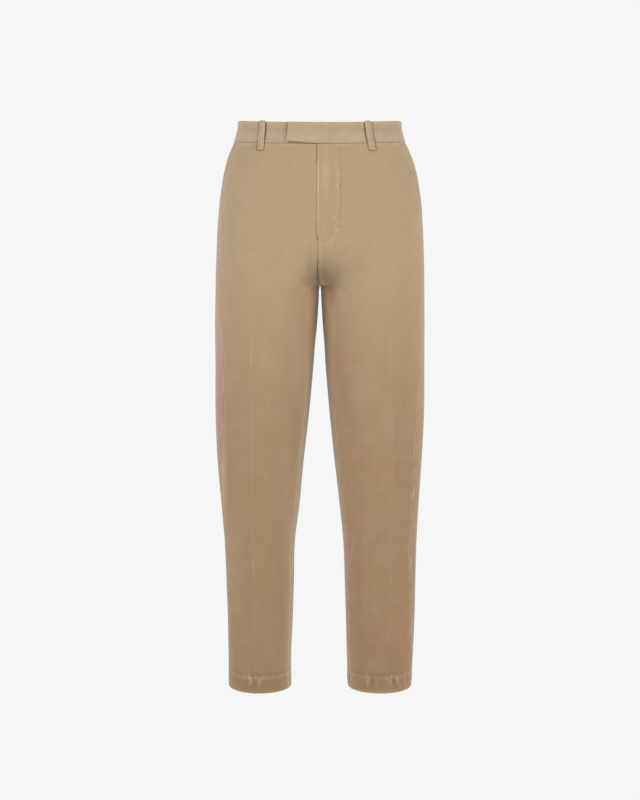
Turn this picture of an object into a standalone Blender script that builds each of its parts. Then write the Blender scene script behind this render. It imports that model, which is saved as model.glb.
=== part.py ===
# Cropped corduroy trousers, held at the waist and filled out with no wearer: a front
# and a back panel for each leg, side pocket facings, a waistband in two halves whose
# left end laps over the fly, and five belt loops.
#
# Metres, +Z up. The front faces -Y and +X is the wearer's left. The origin is the middle
# of the waist opening, level with the top of the waistband at the sides.
#
# Every piece is laid on one cloth surface. A place on it has two coordinates:
#   drop    distance below the top of the waistband, measured down the side seam
#   across  0 at the centre front or the inseam, 1 at the side seam,
#           2 at the centre back or the inseam again

import math

import bpy
import numpy as np

MM = 0.001

# Driving dimensions
LENGTH = 1.000              # waistband top to hem, down the side
BAND_HEIGHT = 0.035
BAND_WALL = 0.0030
BAND_PROUD = 0.0007         # the waistband stands this far out of the panels
WALL = 0.0016               # one layer of cord cloth
FACING_WALL = 0.0012
GAP = 0.0003                # between two pieces at a seam
HEM_TURN = 0.031            # turned up inside and stitched, so two layers thick
HEM_WALL = 0.0032

FORK_TOP = 0.204            # the centre seams leave the plain hip here and turn under
CROTCH = 0.278              # where the four panels meet
FORK_REACH = 0.7            # share of a panel's width that the turning under takes in
THIGH_TOP = 0.070           # away from the centre, the hip starts to round into two legs

FLY_LAP = 0.005             # the left front reaches past the centre
FLY_UNDER = 0.008           # the right front runs on behind it
FLY_RAISE = WALL + GAP
FLY_FLAT = 0.012            # the lap lies flat this far left of the centre
FLY_RAMP = 0.008
FLY_END = 0.180             # rows of the fly's foot: the right front draws back,
FLY_STEP = 0.008            # then the left front, then the lap sinks to the seam
SWAY = 0.0042               # below the fly the front seam lies this far to the wearer's right
SWAY_TOP = FLY_END + FLY_STEP
SWAY_TURN = 0.236           # from here it comes back to the centre at the fork
SWAY_WIDTH = 0.030          # half the width of the cloth that it draws along

TAB_REACH = 0.0545          # the waistband's left end, past the centre
TAB_RAISE = BAND_WALL + GAP
TAB_FLAT = 0.008
TAB_RAMP = 0.020
TAB_SLOPE = 0.0035          # the tab is this much shallower at its end
TAB_CORNER = 0.0025
BAND_UNDER = 0.002          # the right half of the waistband ends here, behind the tab

WAIST_DIP = 0.0045          # the centre front hangs below the sides
DIP_END = 0.170

POCKET_TOP = {"left": 25.0, "right": 15.0}   # degrees forward of the side, at the waistband
POCKET_END = 0.158          # the slanted mouth meets the side seam
POCKET_FOOT = 0.004         # the facing stops this far above it
POCKET_BEND = 1.25          # over 1, the mouth curves down into the side seam

LOOP_WIDTH = 0.0115
LOOP_WALL = 0.0020
LOOP_HOLLOW = 0.0023        # room behind a loop, at its middle
LOOP_ABOVE = 0.0015
LOOP_BELOW = 0.0118         # past the waistband's lower seam
LOOP_STEP = 0.004           # past that seam the loop comes down to the panel
LOOP_ROWS = 9

CREASE = 0.0012             # height of the pressed creases
CREASE_SPREAD = 0.03        # half their width, in across
CREASE_TOP = 0.300
CREASE_FULL = 0.420

CLOTH_COLOUR = (0.46, 0.33, 0.21, 1.0)
SIDES = {"left": 1, "right": -1}

# The body and leg sections, in millimetres. outer and inner are the silhouette's edges
# from the middle of the garment, before left_outer and left_inner: the wearer's left edges
# lie this much further out or in, and the right ones as much the other way. front and back
# are how far the section reaches that way. side and inside are where, front to back, the
# outer and inner edges lie. fullness is the section's exponent, 2 for an ellipse.
SECTION_NAMES = ("drop", "outer", "inner", "front", "back", "side", "inside", "fullness",
                 "left_outer", "left_inner")
SECTIONS = [
    (-10, 138.4, 0.0, -103.0, 103.0, 0.0, -30.0, 2.24, -0.6, 0.0),
    (0, 139.1, 0.0, -103.5, 104.0, 0.0, -30.0, 2.25, -0.6, 0.0),
    (15, 140.7, 0.0, -104.5, 106.0, 0.0, -30.0, 2.26, -0.6, 0.0),
    (36, 146.5, 0.0, -106.5, 110.0, 0.0, -30.0, 2.28, -0.6, 0.0),
    (57, 155.8, 0.0, -108.5, 115.0, 1.0, -30.0, 2.30, -0.2, 0.0),
    (83, 164.1, 0.0, -110.3, 121.5, 2.0, -30.0, 2.32, 0.4, 0.0),
    (117, 170.7, 0.0, -111.3, 128.5, 3.0, -30.0, 2.34, 0.7, 0.0),
    (168, 175.9, 0.0, -111.7, 134.0, 4.0, -30.0, 2.34, 0.5, 0.0),
    (237, 179.4, 0.0, -110.5, 131.0, 3.0, -30.0, 2.28, 0.3, 0.0),
    (278, 180.6, 0.0, -108.8, 121.5, 1.5, -30.0, 2.22, 0.0, 0.0),
    (285, 180.7, 1.5, -108.4, 120.0, 1.4, -29.5, 2.22, 0.0, 0.0),
    (297, 181.0, 2.1, -107.7, 117.5, 1.0, -27.0, 2.22, -0.1, 0.0),
    (341, 181.8, 4.3, -104.3, 109.0, 0.5, -17.0, 2.20, -0.3, 0.1),
    (411, 181.9, 9.8, -98.2, 98.0, 0.0, -7.0, 2.18, -0.1, 0.8),
    (500, 182.2, 17.5, -88.6, 84.0, -2.0, -4.0, 2.15, -0.3, 1.1),
    (589, 178.8, 27.2, -78.4, 71.5, -3.5, -4.0, 2.12, -0.7, 1.6),
    (661, 173.7, 34.7, -70.6, 65.5, -3.0, -3.0, 2.10, 0.0, 0.8),
    (735, 169.2, 42.8, -63.0, 63.5, 0.0, 0.0, 2.10, 1.1, 1.6),
    (806, 167.5, 45.0, -55.6, 65.5, 5.0, 5.0, 2.08, 1.7, 1.1),
    (880, 166.2, 47.5, -48.0, 69.5, 11.0, 11.0, 2.05, 2.0, 1.2),
    (940, 165.0, 49.6, -41.7, 72.6, 15.5, 15.5, 2.03, 1.2, 1.8),
    (1000, 163.4, 50.9, -35.5, 75.5, 20.0, 20.0, 2.02, 0.1, 0.9),
]

# Where the seams and the front creases run, in degrees round the section: side seams and
# inseam forward of the leg's edges, creases outward of the leg's front.
SEAM_NAMES = ("drop", "side_left", "side_right", "inseam", "crease_left", "crease_right")
SEAMS = [
    (0, 7, 4, 0, 14, 11),
    (204, 8, 6, 0, 14, 11),
    (278, 13, 15, 0, 14, 11),
    (370, 25, 36, 18, 14, 12.5),
    (450, 32, 40, 23, 14, 12),
    (500, 34, 38, 24, 14.5, 10.5),
    (565, 37, 33, 24, 15.5, 9),
    (630, 38, 24, 24, 15.5, 9),
    (690, 38, 18, 24, 15, 9),
    (780, 36, 16, 23, 14, 8),
    (900, 29, 18, 21, 12, 8),
    (1000, 21, 21, 19, 11, 9),
]

# The largest folds. around is in degrees about the leg (-90 front, 0 outer side, 90 back,
# 180 inner side), length and width are half-sizes, tilt leans the fold's lower end towards
# the outer side, and depth is inward where it is negative.
FOLD_NAMES = ("leg", "drop", "around", "length", "width", "tilt", "depth")
FOLDS = [
    ("left", 325, -140, 75, 20, -6, -4.0),       # hollow beside the fork
    ("right", 335, -138, 85, 18, -4, -2.5),
    ("left", 745, -128, 60, 13, -30, 2.6),       # ridge towards the inner knee
    ("left", 752, -108, 66, 17, -30, -1.8),
    ("right", 258, -112, 44, 14, 72, -1.6),      # drag line from the fork
    ("left", 88, -32, 40, 13, 62, -1.8),         # slack beside the pocket
    ("right", 92, -30, 40, 13, 58, -1.4),
    ("left", 332, 112, 82, 20, 62, -4.5),        # folds under the seat
    ("right", 326, 114, 80, 20, 60, -4.5),
    ("left", 385, 98, 72, 19, 50, -3.0),
    ("right", 392, 102, 76, 19, 46, -3.0),
    ("left", 610, 84, 58, 17, 78, -3.0),         # breaks behind the knee
    ("right", 622, 88, 60, 17, 76, -3.0),
    ("left", 668, 100, 52, 15, 70, -2.2),
    ("right", 676, 104, 50, 15, 72, -2.2),
]
FOLD_RADIUS = 0.085         # turns degrees about the leg into a length

# Belt loops: the x of the front pair is given at the top and the bottom, the others by
# across.
FRONT_LOOPS = {"left": (0.0785, 0.0878), "right": (0.0950, 0.0998)}
SIDE_BACK_LOOP = 1.50


def columns_of(names, rows):
    """The table as one array for each named column."""
    return {name: np.array(values, dtype=float) for name, values in zip(names, zip(*rows))}


SECTION = columns_of(SECTION_NAMES, SECTIONS)
SEAM = columns_of(SEAM_NAMES, SEAMS)


def mix(first, second, share):
    return first + (second - first) * share


def ease(share):
    """Smooth step from 0 to 1."""
    share = np.clip(share, 0.0, 1.0)
    return share * share * (3.0 - 2.0 * share)


def through(table, name, drop):
    """A smooth curve through one column of a table."""
    at = np.clip(drop / MM, table["drop"][0], table["drop"][-1])
    rows, values = table["drop"], table[name]
    slopes = np.gradient(values, rows)
    low = np.clip(np.searchsorted(rows, at, side="right") - 1, 0, len(rows) - 2)
    span = rows[low + 1] - rows[low]
    share = (at - rows[low]) / span
    hermite_start = (1 + 2 * share) * (1 - share) ** 2
    hermite_end = share * share * (3 - 2 * share)
    lean_start = share * (1 - share) ** 2 * span
    lean_end = share * share * (share - 1) * span
    curve = hermite_start * values[low] + hermite_end * values[low + 1]
    return curve + lean_start * slopes[low] + lean_end * slopes[low + 1]


def rounded(value, fullness):
    return np.sign(value) * np.abs(value) ** (2.0 / fullness)


def leg_angle(side, level, across):
    """Degrees about the leg of a place on the cloth."""
    side_seam = through(SEAM, "side_" + side, level)
    inseam = through(SEAM, "inseam", level)
    front = mix(-180.0 + inseam, -side_seam, across)
    back = mix(-side_seam, 180.0 + inseam, across - 1.0)
    return np.where(across <= 1.0, front, back)


def surface(side, drop, across):
    """The smooth cloth, on the wearer's left; x is mirrored later for the right."""
    depth = CROTCH - FORK_TOP
    bend = np.clip((drop - FORK_TOP) / depth, 0.0, 1.0) * math.pi / 2
    outward = ease(np.minimum(across, 2.0 - across) / FORK_REACH)
    turning = (drop > FORK_TOP) & (drop < CROTCH)
    level = np.where(turning, mix(FORK_TOP + depth * np.sin(bend), drop, outward), drop)
    slide = ease(bend / (math.pi / 2))
    thigh = ease((drop - THIGH_TOP) / (CROTCH - THIGH_TOP))
    legness = mix(1.0 - np.cos(bend), thigh, outward)

    row = {name: through(SECTION, name, level) for name in SECTION_NAMES[1:]}
    sign = SIDES[side]
    outer = row["outer"] + sign * row["left_outer"]
    inner = np.where(level > CROTCH, np.maximum(row["inner"] - sign * row["left_inner"], 0.0), 0.0)
    middle, half = mix(inner, outer, 0.5), (outer - inner) / 2
    side_seam = through(SEAM, "side_" + side, level)

    # The hip: a place's angle about the body, and the angle about the leg at the same x
    body = np.radians(np.where(across <= 1.0, mix(-90.0, -side_seam, across),
                               mix(-side_seam, 90.0, across - 1.0)))
    x = outer * rounded(np.cos(body), row["fullness"])
    share = np.clip(rounded((x - middle) / half, 4.0 / row["fullness"]), -1.0, 1.0)
    matched = np.sign(body) * np.arccos(share)

    # Down the fork the places slide round to even steps about the leg, and from the
    # body's front and back to the leg's
    leg = mix(matched, np.radians(leg_angle(side, level, across)), slide)
    leg_x = middle + half * rounded(np.cos(leg), row["fullness"])
    x = np.where(bend > 0.0, leg_x, x)
    sway = SWAY * ease((drop - SWAY_TOP) / FLY_STEP)
    sway = sway * (1.0 - ease((drop - SWAY_TURN) / (CROTCH - SWAY_TURN))) * (across < 1.0)
    swayed = x * MM - sign * sway * np.exp(-(x * MM / SWAY_WIDTH) ** 2)
    height = (1.0 - np.clip(np.abs(x) / outer, 0.0, 1.0) ** row["fullness"]) ** (1.0 / row["fullness"])
    behind = np.where(bend > 0.0, leg, body) > 0.0
    body_y = row["side"] + height * np.where(behind, row["back"] - row["side"],
                                             row["front"] - row["side"])
    centre = np.where(np.cos(leg) > 0, row["side"], row["inside"])
    reach = np.where(np.sin(leg) < 0, centre - row["front"], row["back"] - centre)
    leg_y = centre + reach * rounded(np.sin(leg), row["fullness"])
    y = mix(body_y, leg_y, legness) * MM

    forward = np.clip((row["side"] * MM - y) / ((row["side"] - row["front"]) * MM), 0.0, 1.0)
    dip = WAIST_DIP * forward ** 2 * (1.0 - ease((level - BAND_HEIGHT) / (DIP_END - BAND_HEIGHT)))
    return np.stack([swayed + GAP / 2, y, -level - dip], axis=-1)


def fold_height(side, drop, across):
    """How far the folds and the pressed creases stand out of the smooth cloth."""
    around = leg_angle(side, drop, across)
    height = np.zeros_like(around)
    for fold in FOLDS:
        row = dict(zip(FOLD_NAMES, fold))
        if row["leg"] != side:
            continue
        turn = (around - row["around"] + 180.0) % 360.0 - 180.0
        sideways = np.radians(turn) * FOLD_RADIUS
        down = drop - row["drop"] * MM
        tilt = math.radians(row["tilt"])
        along = down * math.cos(tilt) + sideways * math.sin(tilt)
        over = sideways * math.cos(tilt) - down * math.sin(tilt)
        spread = (along / (row["length"] * MM)) ** 2 + (over / (row["width"] * MM)) ** 2
        height += row["depth"] * MM * np.exp(-spread)
    pressed = CREASE * ease((drop - CREASE_TOP) / (CREASE_FULL - CREASE_TOP))
    for place in crease_places(side, drop):
        height += pressed * np.exp(-((across - place) / CREASE_SPREAD) ** 2)
    return height


def crease_places(side, drop):
    """across of the front crease and of the back crease."""
    side_seam = through(SEAM, "side_" + side, drop)
    inseam = through(SEAM, "inseam", drop)
    crease = through(SEAM, "crease_" + side, drop)
    front = (90.0 + crease - inseam) / (180.0 - inseam - side_seam)
    back = 1.0 + (90.0 - crease + side_seam) / (180.0 + inseam + side_seam)
    return front, back


def cloth(side, drop, across, lift=0.0):
    """Points of the cloth, lifted off it, and their outward directions, for one side."""
    step = 0.001
    drop, across = np.broadcast_arrays(np.asarray(drop, float), np.asarray(across, float))
    down = surface(side, drop + step, across) - surface(side, drop - step, across)
    around = surface(side, drop, across + step) - surface(side, drop, across - step)
    outward = np.cross(down, around)
    outward /= np.linalg.norm(outward, axis=-1, keepdims=True)
    rise = fold_height(side, drop, across) + lift
    points = surface(side, drop, across) + outward * rise[..., None]
    mirror = np.array([SIDES[side], 1.0, 1.0])
    return points * mirror, outward * mirror


def across_at(side, drop, x):
    """across of the place on the hip that lies x from the centre, towards the front."""
    outer = (through(SECTION, "outer", drop) + SIDES[side] * through(SECTION, "left_outer", drop)) * MM
    fullness = through(SECTION, "fullness", drop)
    share = np.sign(x) * (np.abs(x) / outer) ** (fullness / 2.0)
    return np.degrees(np.arcsin(share)) / (90.0 - through(SEAM, "side_" + side, drop))


def row_width(side, drop, first, last):
    """Length of the cloth between two places of one row."""
    share = np.linspace(0.0, 1.0, 25)
    points = cloth(side, drop, mix(first, last, share))[0]
    return np.linalg.norm(np.diff(points, axis=0), axis=1).sum()


def fabric_material(name):
    material = bpy.data.materials.new(name)
    material.use_nodes = True
    shader = material.node_tree.nodes["Principled BSDF"]
    shader.inputs["Base Color"].default_value = CLOTH_COLOUR
    shader.inputs["Roughness"].default_value = 0.9
    shader.inputs["Metallic"].default_value = 0.0
    return material


def wall_object(name, outer, inner):
    """A closed wall between two grids of points, rows down and columns across.

    Each cell is cut along its shorter diagonal, the same one outside and inside, so the
    wall keeps its thickness where the cloth twists.
    """
    rows, columns = outer.shape[:2]
    count = rows * columns
    points = np.concatenate([outer.reshape(-1, 3), inner.reshape(-1, 3)])
    middle = (points[:count] + points[count:]) / 2

    def at(row, column):
        return row * columns + column

    faces = []
    for row in range(rows - 1):
        for column in range(columns - 1):
            corners = [at(row, column), at(row + 1, column),
                       at(row + 1, column + 1), at(row, column + 1)]
            lengths = [np.linalg.norm(middle[corners[2 + turn]] - middle[corners[turn]])
                       for turn in (0, 1)]
            if lengths[1] < lengths[0]:
                corners = corners[1:] + corners[:1]
            for half in (corners[:3], [corners[0]] + corners[2:]):
                faces.append(half)
                faces.append([corner + count for corner in reversed(half)])
    rim = [at(0, column) for column in range(columns)]
    rim += [at(row, columns - 1) for row in range(1, rows)]
    rim += [at(rows - 1, column) for column in range(columns - 2, -1, -1)]
    rim += [at(row, 0) for row in range(rows - 2, 0, -1)]
    for here, there in zip(rim, rim[1:] + rim[:1]):
        faces.append([here, there, there + count, here + count])

    mesh = bpy.data.meshes.new(name)
    mesh.from_pydata([tuple(point) for point in points], [], faces)
    if signed_volume(mesh) < 0:
        mesh.flip_normals()
    mesh.shade_smooth()
    mesh.set_sharp_from_angle(angle=math.radians(40))
    mesh.materials.append(fabric_material(name))
    piece = bpy.data.objects.new(name, mesh)
    bpy.context.collection.objects.link(piece)
    return piece


def signed_volume(mesh):
    mesh.calc_loop_triangles()
    total = 0.0
    for triangle in mesh.loop_triangles:
        first, second, third = (mesh.vertices[index].co for index in triangle.vertices)
        total += first.dot(second.cross(third))
    return total


def wall_piece(name, side, drops, across, lift, wall):
    """A cloth wall whose outer face is the grid of places, lifted, and its inner one below."""
    outer, outward = cloth(side, drops, across, lift)
    inner = outer - outward * np.broadcast_to(wall, drops.shape)[..., None]
    return wall_object(name, outer, inner)


# How the rows and columns of the panels are shared out
POCKET_ROWS = [0.0, 0.1, 0.22, 0.38, 0.57, 0.78, 1.0]
FORK_ROWS = 7
THIGH_ROWS = [0.285, 0.300, 0.322]
LEG_TOP = 0.348
LEG_ROWS = 22
LEG_END = 0.938
HEM_ROWS = [LENGTH - HEM_TURN - 0.002, LENGTH - HEM_TURN + 0.001, LENGTH]
FRONT_COLUMNS = [0.0, 0.045, 0.09, 0.14, 0.28, 0.46, 0.64, 0.82, 1.0]
FRONT_OUTER_COLUMNS = 4
FACING_HIDDEN = 3           # the front panel's last columns, which the facing lies behind
FACING_COLUMNS = 3          # of the facing in the open mouth
BACK_COLUMNS = 6            # on each side of the back crease


def pocket_drops():
    """Rows of a panel beside the pocket mouth, which ends just below the last one."""
    top = BAND_HEIGHT + GAP
    return list(mix(top, POCKET_END - POCKET_FOOT, np.array(POCKET_ROWS)))


def panel_drops():
    """Rows of a panel: hip, fly's foot, fork and leg, down to the turned hem."""
    hip = pocket_drops() + [POCKET_END]
    foot = [FLY_END + step * FLY_STEP for step in range(3)]
    fork = list(np.linspace(FORK_TOP, CROTCH, FORK_ROWS))
    leg = list(np.linspace(LEG_TOP, LEG_END, LEG_ROWS))
    return np.array(hip + foot + fork + THIGH_ROWS + leg + HEM_ROWS)


def pocket_mouth(side, drop):
    """across of the slanted pocket mouth, 1 below its foot."""
    side_seam = through(SEAM, "side_" + side, drop)
    top = (90.0 - POCKET_TOP[side]) / (90.0 - side_seam)
    down = (drop - BAND_HEIGHT) / (POCKET_END - BAND_HEIGHT)
    return np.where(down < 1.0, mix(top, 1.0, np.clip(down, 0.0, 1.0) ** POCKET_BEND), 1.0)


def fly_edge(side, drop):
    """How far a front panel reaches past the centre."""
    if side == "left":
        reach = FLY_LAP * (drop < FLY_END + 1.5 * FLY_STEP)
    else:
        reach = FLY_UNDER * (drop < FLY_END + 0.5 * FLY_STEP)
    return reach


def fly_raise(side, drop, x):
    """Lift of the left front where it laps over the right one."""
    if side == "right":
        return np.zeros_like(x)
    tall = FLY_RAISE * (drop < FLY_END + 2.5 * FLY_STEP)
    return tall * (1.0 - np.clip((x - FLY_FLAT) / FLY_RAMP, 0.0, 1.0))


def front_places(side, drop):
    """across of a front panel's columns in one row; one of them is its pressed crease."""
    trim = GAP / 2 / row_width(side, drop, 0.0, 1.0)
    start = trim if drop > CROTCH - MM else -float(across_at(side, drop, fly_edge(side, drop)))
    crease = float(crease_places(side, drop)[0])
    end = float(pocket_mouth(side, drop)) - trim
    inner_part = mix(start, crease, np.array(FRONT_COLUMNS))
    outer_part = np.linspace(crease, end, FRONT_OUTER_COLUMNS + 1)[1:]
    return np.concatenate([inner_part, outer_part])


def front_panel(side):
    rows = panel_drops()
    across = np.array([front_places(side, drop) for drop in rows])
    drops = np.repeat(rows[:, None], across.shape[1], axis=1)
    x = cloth(side, drops, across)[0][..., 0] * SIDES[side]
    wall = np.where(drops > LENGTH - HEM_TURN, HEM_WALL, WALL)
    return wall_piece("front_" + side, side, drops, across, fly_raise(side, drops, x), wall)


def back_panel(side):
    drops = panel_drops()
    across = []
    for drop in drops:
        crease = float(crease_places(side, drop)[1])
        trim = GAP / 2 / row_width(side, drop, 1.0, 2.0)
        start = 1.0 + trim
        end = 2.0 - (trim if drop > CROTCH - MM else 0.0)
        outer_part = np.linspace(start, crease, BACK_COLUMNS + 1)
        inner_part = np.linspace(crease, end, BACK_COLUMNS + 2)[1:]
        across.append(np.concatenate([outer_part, inner_part]))
    across = np.array(across)
    drops = np.repeat(drops[:, None], across.shape[1], axis=1)
    wall = np.where(drops > LENGTH - HEM_TURN, HEM_WALL, WALL)
    return wall_piece("back_" + side, side, drops, across, 0.0, wall)


def pocket_facing(side):
    """The piece that shows in the pocket mouth, one layer below the front panel."""
    rows = np.array(pocket_drops())
    across = []
    lift = []
    for drop in rows:
        hidden = front_places(side, drop)[-FACING_HIDDEN:]
        mouth = hidden[-1]
        end = 1.0 - GAP / 2 / row_width(side, drop, 0.0, 1.0)
        places = np.concatenate([hidden, np.linspace(mouth, end, FACING_COLUMNS + 1)[1:]])
        across.append(places)
        lift.append(-(WALL + GAP) * (1.0 - ease((places - mouth) / (end - mouth))))
    across = np.array(across)
    drops = np.repeat(rows[:, None], across.shape[1], axis=1)
    return wall_piece("pocket_facing_" + side, side, drops, across, np.array(lift), FACING_WALL)


# Columns of the waistband: by their x across the front, then in even steps to the back
BAND_FRONT = [-TAB_REACH, -0.0515, -0.042, -0.030, -0.017, -0.005, TAB_FLAT, 0.015, 0.022,
              TAB_FLAT + TAB_RAMP, 0.040, 0.055, 0.070]
BAND_REST = 21
BAND_ROWS = 4


def waistband(side):
    """Half of the waistband, from the fly to the centre back."""
    reach = TAB_REACH if side == "left" else BAND_UNDER
    x = [-reach] + [value for value in BAND_FRONT if value > -reach]
    front = [float(across_at(side, 0.0, value)) for value in x]
    rest = list(np.linspace(front[-1], 2.0, BAND_REST + 1)[1:])
    places = np.array(front + rest)
    beyond = np.array([max(-FLY_LAP - value, 0.0) for value in x] + [0.0] * len(rest))
    bottom = BAND_HEIGHT - TAB_SLOPE * beyond / (TAB_REACH - FLY_LAP) * (side == "left")
    if side == "left":
        bottom[0] -= TAB_CORNER
    share = np.linspace(0.0, 1.0, BAND_ROWS)
    drops = share[:, None] * bottom[None, :]
    across = np.repeat(places[None, :], len(share), axis=0)
    lift = np.full(places.shape, BAND_PROUD)
    if side == "left":
        local_x = np.array(x + [TAB_REACH] * len(rest))
        lift += TAB_RAISE * (1.0 - np.clip((local_x - TAB_FLAT) / TAB_RAMP, 0.0, 1.0))
    return wall_piece("waistband_" + side, side, drops, across, lift[None, :], BAND_WALL)


def belt_loop(name, side, top, bottom):
    """A flat strip over the waistband, seated above and below, with room behind it."""
    share = np.linspace(0.0, 1.0, LOOP_ROWS)
    drops = mix(-LOOP_ABOVE, BAND_HEIGHT + LOOP_BELOW, share)
    across = mix(top, bottom, share)
    seat = np.where(drops < BAND_HEIGHT + LOOP_STEP, BAND_PROUD + GAP, GAP)
    hollow = LOOP_HOLLOW * np.sin(math.pi * np.clip(share * 1.25, 0.0, 1.0)) ** 0.7
    middle, outward = cloth(side, drops, across, seat + hollow)
    level = cloth(side, drops, across + 0.01)[0] - cloth(side, drops, across - 0.01)[0]
    level /= np.linalg.norm(level, axis=-1, keepdims=True)
    half = level * LOOP_WIDTH / 2
    under = np.stack([middle - half, middle + half], axis=1)
    over = under + (outward * LOOP_WALL)[:, None, :]
    return wall_object(name, over, under)


def build():
    for old in list(bpy.data.objects):
        bpy.data.objects.remove(old, do_unlink=True)
    waist = bpy.data.objects.new("waist", None)
    bpy.context.collection.objects.link(waist)
    pieces = []
    for side in SIDES:
        pieces.append(front_panel(side))
        pieces.append(back_panel(side))
        pieces.append(pocket_facing(side))
        pieces.append(waistband(side))
        top_x, bottom_x = FRONT_LOOPS[side]
        top = float(across_at(side, 0.0, top_x))
        bottom = float(across_at(side, BAND_HEIGHT + LOOP_BELOW, bottom_x))
        pieces.append(belt_loop("belt_loop_front_" + side, side, top, bottom))
        pieces.append(belt_loop("belt_loop_side_back_" + side, side, SIDE_BACK_LOOP, SIDE_BACK_LOOP))
    pieces.append(belt_loop("belt_loop_centre_back", "left", 2.0, 2.0))
    for piece in pieces:
        piece.parent = waist


build()
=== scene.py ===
# Looks for the cropped corduroy trousers: finer cloth, sewing, finish, light and camera.
# Metres, +Z up, front towards -Y, +X is the wearer's left.

import math

import bpy
import numpy as np
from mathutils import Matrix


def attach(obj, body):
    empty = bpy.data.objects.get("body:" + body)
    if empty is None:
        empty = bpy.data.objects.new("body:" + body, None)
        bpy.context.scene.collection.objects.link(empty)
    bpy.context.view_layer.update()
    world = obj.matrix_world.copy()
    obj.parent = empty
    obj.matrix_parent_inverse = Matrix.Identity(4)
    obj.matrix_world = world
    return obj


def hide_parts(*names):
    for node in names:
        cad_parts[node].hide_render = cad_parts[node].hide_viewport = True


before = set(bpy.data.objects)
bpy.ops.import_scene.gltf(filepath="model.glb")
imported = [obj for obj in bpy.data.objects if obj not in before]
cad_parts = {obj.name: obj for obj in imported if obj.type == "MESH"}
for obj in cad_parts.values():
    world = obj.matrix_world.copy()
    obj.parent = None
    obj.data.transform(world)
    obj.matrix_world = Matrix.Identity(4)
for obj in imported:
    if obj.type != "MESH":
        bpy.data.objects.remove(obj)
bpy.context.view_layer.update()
print("frame loaded, nodes:", len(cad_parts))

scene = bpy.context.scene
mm = 0.001
sides = {"left": 1, "right": -1}


# The camera stands level with the hips, before the front.
view = {
    "place": (0.0, -3.0, -0.10),
    "pitchDown": 7.2476,  # degrees
    "lens": 77.806,
    "sensor": 36.0,
}

cameraData = bpy.data.cameras.new("camera")
cameraData.lens = view["lens"]
cameraData.sensor_width = view["sensor"]
camera = bpy.data.objects.new("camera", cameraData)
camera.location = view["place"]
camera.rotation_euler = (math.radians(90.0 - view["pitchDown"]), 0.0, 0.0)
scene.collection.objects.link(camera)
scene.camera = camera


# The cut, in metres.
cut = {
    "length": 1.000,  # waistband top to hem
    "bandHeight": 0.035,
    "bandWall": 0.0030,
    "bandProud": 0.0007,
    "wall": 0.0016,
    "facingWall": 0.0012,
    "gap": 0.0003,  # between two layers
    "seamGap": 0.00004,  # sewn edges all but touch
    "hemTurn": 0.031,
    "hemWall": 0.0032,
    "forkTop": 0.204,
    "crotch": 0.278,
    "forkReach": 0.7,
    "thighTop": 0.070,
    "waistDip": 0.0045,
    "dipEnd": 0.170,
    "foldRadius": 0.085,
}

fly = {
    "lap": 0.005,
    "under": 0.008,
    "flat": 0.012,
    "ramp": 0.008,
    "end": 0.180,
    "step": 0.008,
    "sway": 0.0042,  # below it the seam lies this far to the wearer's right
    "swayTurn": 0.236,
    "swayWidth": 0.030,
    "tabFoot": 0.050,  # drop where the tab's shadow ends
    "stitchAt": 0.0312,  # the J stitching runs this far left of the centre
    "stitchBend": 0.168,  # drop where it starts to curve in
    "stitchEnd": 0.2065,
}

tab = {
    "reach": 0.0545,
    "flat": 0.008,
    "ramp": 0.020,
    "slope": 0.0035,
    "corner": 0.0025,
    "topCorner": 0.0012,
    "under": 0.002,
}

pocket = {
    "top": {"left": 25.0, "right": 15.0},
    "end": 0.158,
    "foot": 0.004,
    "bend": 1.25,
    "hidden": 0.10,  # share of the front that the facing runs on behind
}

loops = {
    "width": 0.0115,
    "wall": 0.0020,
    "hollow": 0.0023,
    "above": 0.0015,
    "below": 0.0118,
    "step": 0.004,
    "front": {"left": (0.0785, 0.0878), "right": (0.0950, 0.0998)},
    "sideBack": 1.50,
    "dark": (0.60, 0.95),  # shade along the inner and the outer edge
    "darkSpread": (1.0, 0.0002, 0.0011),
    # painted shadow under the loop's foot
    "footDark": (0.95, 0.0006, 0.0011),
    "footSpread": 0.0006,
}

crease = {
    "height": 0.0012,
    "spread": 0.03,
    "top": 0.300,
    "full": 0.420,
    "line": {"front": 0.009, "back": 0.007},
    "sharp": 0.00022,
    "worn": {"left": 0.11, "right": 0.17},
    "wornFrom": (0.25, 0.15),
    "wornTo": (0.90, 0.06),
    "patches": 0.12,
}

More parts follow.
